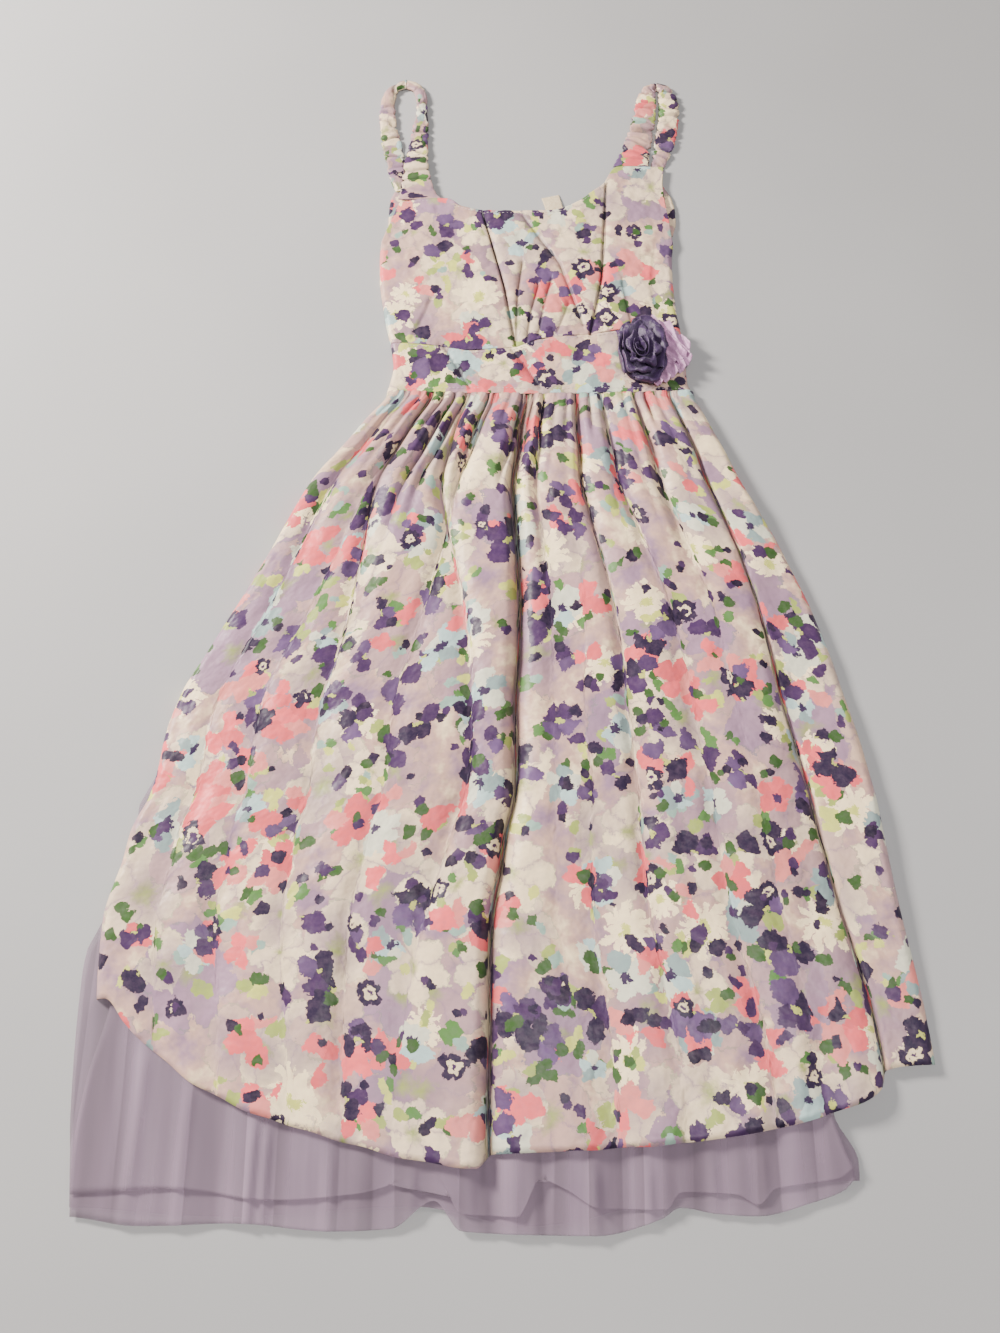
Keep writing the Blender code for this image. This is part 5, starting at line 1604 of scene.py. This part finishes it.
def stitch_runs():
    """Lines that the seam stitches follow, just on top of the cloth."""
    across = np.linspace(-0.985, 0.985, 260)
    drop = SKIRT_HEM.at("drop", across) - HEM_MARGIN
    x = skirt_centre(drop) + across * (skirt_half(drop) - SKIRT_ROLL)
    yield x, waist_y(across) - drop, skirt_top(x, drop, True) + STITCH_LIFT
    along_band = np.linspace(-96, 166, 200) * MM
    along_neck = np.linspace(-92, 112, 200) * MM
    for x, rise in (
            (along_band, BAND_TOP.at("rise", along_band) - BAND_MARGIN),
            (along_band, np.full_like(along_band, BAND_MARGIN)),
            (along_neck, NECKLINE.at("rise", along_neck) - NECK_MARGIN)):
        yield x, rise, bodice_top(x, rise, True) + STITCH_LIFT


def seam_stitches():
    """All the seam stitches as one plain mesh."""
    points = []
    edges = []
    for x, y, z in stitch_runs():
        first = len(points)
        points.extend(in_frame(x, y, z).tolist())
        edges.extend((i, i + 1) for i in range(first, len(points) - 1))
    guide = bpy.data.meshes.new("stitch_guide")
    guide.from_pydata(points, edges, [])
    holder = linked("stitch_guide", guide)
    tree = stitch_tree()
    modifier = holder.modifiers.new("Stitches", "NODES")
    modifier.node_group = tree
    use = settings()
    values = {"Length": use.stitch_length, "Step": use.stitch_step, "Seed": use.stitch_seed,
              "Thread": thread_finish()}
    for item in tree.interface.items_tree:
        if item.in_out == "INPUT" and item.name in values:
            modifier[item.identifier] = values[item.name]
    graph = bpy.context.evaluated_depsgraph_get()
    mesh = bpy.data.meshes.new_from_object(holder.evaluated_get(graph))
    mesh.name = "seam_stitches"
    bpy.data.objects.remove(holder, do_unlink=True)
    return linked("seam_stitches", mesh)


# Operators

class SUNDRESS_OT_stage(Operator):
    """Floor, soft studio light and the camera over the dress"""
    bl_idname = "sundress.stage"
    bl_label = "Stage"

    def execute(self, context):
        corners = [(-1, -1), (1, -1), (1, 1), (-1, 1)]
        mesh = bpy.data.meshes.new("floor")
        mesh.from_pydata([(x * FLOOR_REACH, y * FLOOR_REACH, 0) for x, y in corners], [], [(0, 1, 2, 3)])
        mesh.materials.append(floor_finish())
        linked("floor", mesh)
        self.lights(context.scene)
        self.camera(context.scene)
        return {"FINISHED"}

    def lights(self, scene):
        for name, place, width, power, colour in LAMPS:
            lamp = bpy.data.lights.new(name, "AREA")
            lamp.energy = power
            lamp.color = colour
            lamp.size = width
            holder = linked(name, lamp)
            holder.location = place
            aim = -holder.location.normalized()
            holder.rotation_euler = aim.to_track_quat("-Z", "Y").to_euler()
        world = bpy.data.worlds.new("Studio")
        world.use_nodes = True
        background = world.node_tree.nodes["Background"]
        background.inputs["Color"].default_value = STUDIO_COLOUR
        background.inputs["Strength"].default_value = STUDIO_STRENGTH
        scene.world = world

    def camera(self, scene):
        data = bpy.data.cameras.new("camera")
        data.lens = CAMERA_LENS
        data.sensor_width = CAMERA_SENSOR
        data.sensor_fit = "AUTO"
        camera = linked("camera", data)
        back = CAMERA_DISTANCE * math.sin(CAMERA_TILT)
        height = CAMERA_DISTANCE * math.cos(CAMERA_TILT)
        camera.location = (SHIFT_X, SHIFT_Y - CAMERA_AIM_DROP - back, height)
        camera.rotation_euler = (CAMERA_TILT, 0, 0)
        scene.camera = camera


class SUNDRESS_OT_skirt(Operator):
    """Skirt front with its folds and gathers, and the flat skirt back"""
    bl_idname = "sundress.skirt"
    bl_label = "Skirt"

    def execute(self, context):
        back = carried(skirt_back_sheet(), "printed_satin", "skirt_back")
        front = carried(skirt_front_sheet(), "printed_satin", "skirt_front")
        return {"FINISHED"}


class SUNDRESS_OT_petticoat(Operator):
    """The three net layers, which show below the skirt's hem"""
    bl_idname = "sundress.petticoat"
    bl_label = "Petticoat"

    def execute(self, context):
        layers = (
            # piece, level, share of the folds above, sides, hem, node
            ("net_back", NET_BACK_LEVEL, 0.25, NET_BACK_SIDES, NET_BACK_HEM, "petticoat_back"),
            ("net_lower", NET_LOWER_LEVEL, 0.50, NET_SIDES, NET_LOWER_HEM, "petticoat_front_lower"),
            ("net_upper", NET_UPPER_LEVEL, 0.75, NET_SIDES, NET_UPPER_HEM, "petticoat_front_upper"),
        )
        for name, level, share, sides, hem, node in layers:
            sheet = carried(net_sheet(name, level, share, sides, hem), "net", node)
        return {"FINISHED"}


class SUNDRESS_OT_bodice(Operator):
    """The three front panels and the elasticated back panel"""
    bl_idname = "sundress.bodice"
    bl_label = "Bodice"

    def execute(self, context):
        back = back_panel("bodice_back_cloth", GRIDS["bodice_back"], BACK_BAND_TOP + GAP, BODICE_BACK_TOP)
        carried(back, "printed_satin", "bodice_back")
        panels = (
            # name, seams, flat size and area
            ("cup_left", (None, LEFT_SEAM), (0.14, 0.19), 0.0205),
            ("centre", (LEFT_SEAM, RIGHT_SEAM), (0.14, 0.21), 0.0185),
            ("cup_right", (RIGHT_SEAM, None), (0.10, 0.215), 0.0145),
        )
        for name, seams, flat, area in panels:
            about = (BAND_ABOUT, NECK_ABOUT)
            print_at = PRINT_AT["bodice"]
            panel = front_panel(f"{name}_cloth", GRIDS[name], seams, bodice_ends, about, print_at, 31)
            carried(panel, "printed_satin", f"bodice_{name}")
        return {"FINISHED"}


class SUNDRESS_OT_band(Operator):
    """Waist band, front and back"""
    bl_idname = "sundress.band"
    bl_label = "Waist band"

    def execute(self, context):
        back = back_panel("band_back_cloth", GRIDS["band_back"], 0.0, BACK_BAND_TOP)
        carried(back, "printed_satin", "midriff_band_back")
        about = (0.0, BAND_ABOUT)
        band = front_panel("band_cloth", GRIDS["band"], (None, None), band_ends, about, PRINT_AT["band"], 41)
        carried(band, "printed_satin", "midriff_band_front")
        return {"FINISHED"}


class SUNDRESS_OT_straps(Operator):
    """Four ruched strap lengths that meet at the shoulder seams"""
    bl_idname = "sundress.straps"
    bl_label = "Straps"

    def execute(self, context):
        for name, (around, length) in STRAP_CUTS.items():
            strap = carried(strap_tube(name), "printed_satin", name)
        return {"FINISHED"}


class SUNDRESS_OT_rosette(Operator):
    """The folded rose and the crumpled petals behind it"""
    bl_idname = "sundress.rosette"
    bl_label = "Rosette"

    def execute(self, context):
        base = carried(rose_base(), "violet_satin", "rosette_dark")
        heart = carried(rose_heart(), "violet_satin", "rosette_dark")
        for number, petal in enumerate(ROSE_PETALS):
            piece = rose_petal(f"rose_petal_{number + 1}", petal, 1.7 * number + 0.4)
            carried(piece, "violet_satin", "rosette_dark")
        for name, start, end, reach, lift_by, seed, area in PETAL_FANS:
            piece = carried(petal_fan(name, start, end, reach, lift_by, seed), "lilac_satin", "rosette_lilac")
        return {"FINISHED"}


class SUNDRESS_OT_label(Operator):
    """The blank neck label"""
    bl_idname = "sundress.label"
    bl_label = "Neck label"

    def execute(self, context):
        tape = carried(label_sheet(), "woven_label", "neck_label")
        return {"FINISHED"}


class SUNDRESS_OT_stitches(Operator):
    """Stitches along the hem, the waist band and the neckline"""
    bl_idname = "sundress.stitches"
    bl_label = "Stitches"

    def execute(self, context):
        carried(seam_stitches(), "printed_satin")
        return {"FINISHED"}


OPERATORS = (
    SUNDRESS_OT_stage, SUNDRESS_OT_skirt, SUNDRESS_OT_petticoat, SUNDRESS_OT_bodice, SUNDRESS_OT_band,
    SUNDRESS_OT_straps, SUNDRESS_OT_rosette, SUNDRESS_OT_label, SUNDRESS_OT_stitches,
)


class SUNDRESS_PT_panel(Panel):
    """Sidebar panel that lists the dress's pieces and settings"""
    bl_idname = "SUNDRESS_PT_panel"
    bl_label = "Sundress"
    bl_space_type = "VIEW_3D"
    bl_region_type = "UI"
    bl_category = "Sundress"

    def draw(self, context):
        for name in SundressSettings.__annotations__:
            self.layout.prop(context.scene.sundress, name)
        for operator in OPERATORS:
            self.layout.operator(operator.bl_idname)


CLASSES = (SundressSettings, *OPERATORS, SUNDRESS_PT_panel)


def register():
    for item in CLASSES:
        bpy.utils.register_class(item)
    bpy.types.Scene.sundress = PointerProperty(type=SundressSettings)


def unregister():
    del bpy.types.Scene.sundress
    for item in reversed(CLASSES):
        bpy.utils.unregister_class(item)


def main():
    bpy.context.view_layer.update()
    register()
    for operator in OPERATORS:
        group, name = operator.bl_idname.split(".")
        getattr(getattr(bpy.ops, group), name)()


if __name__ == "__main__":
    main()
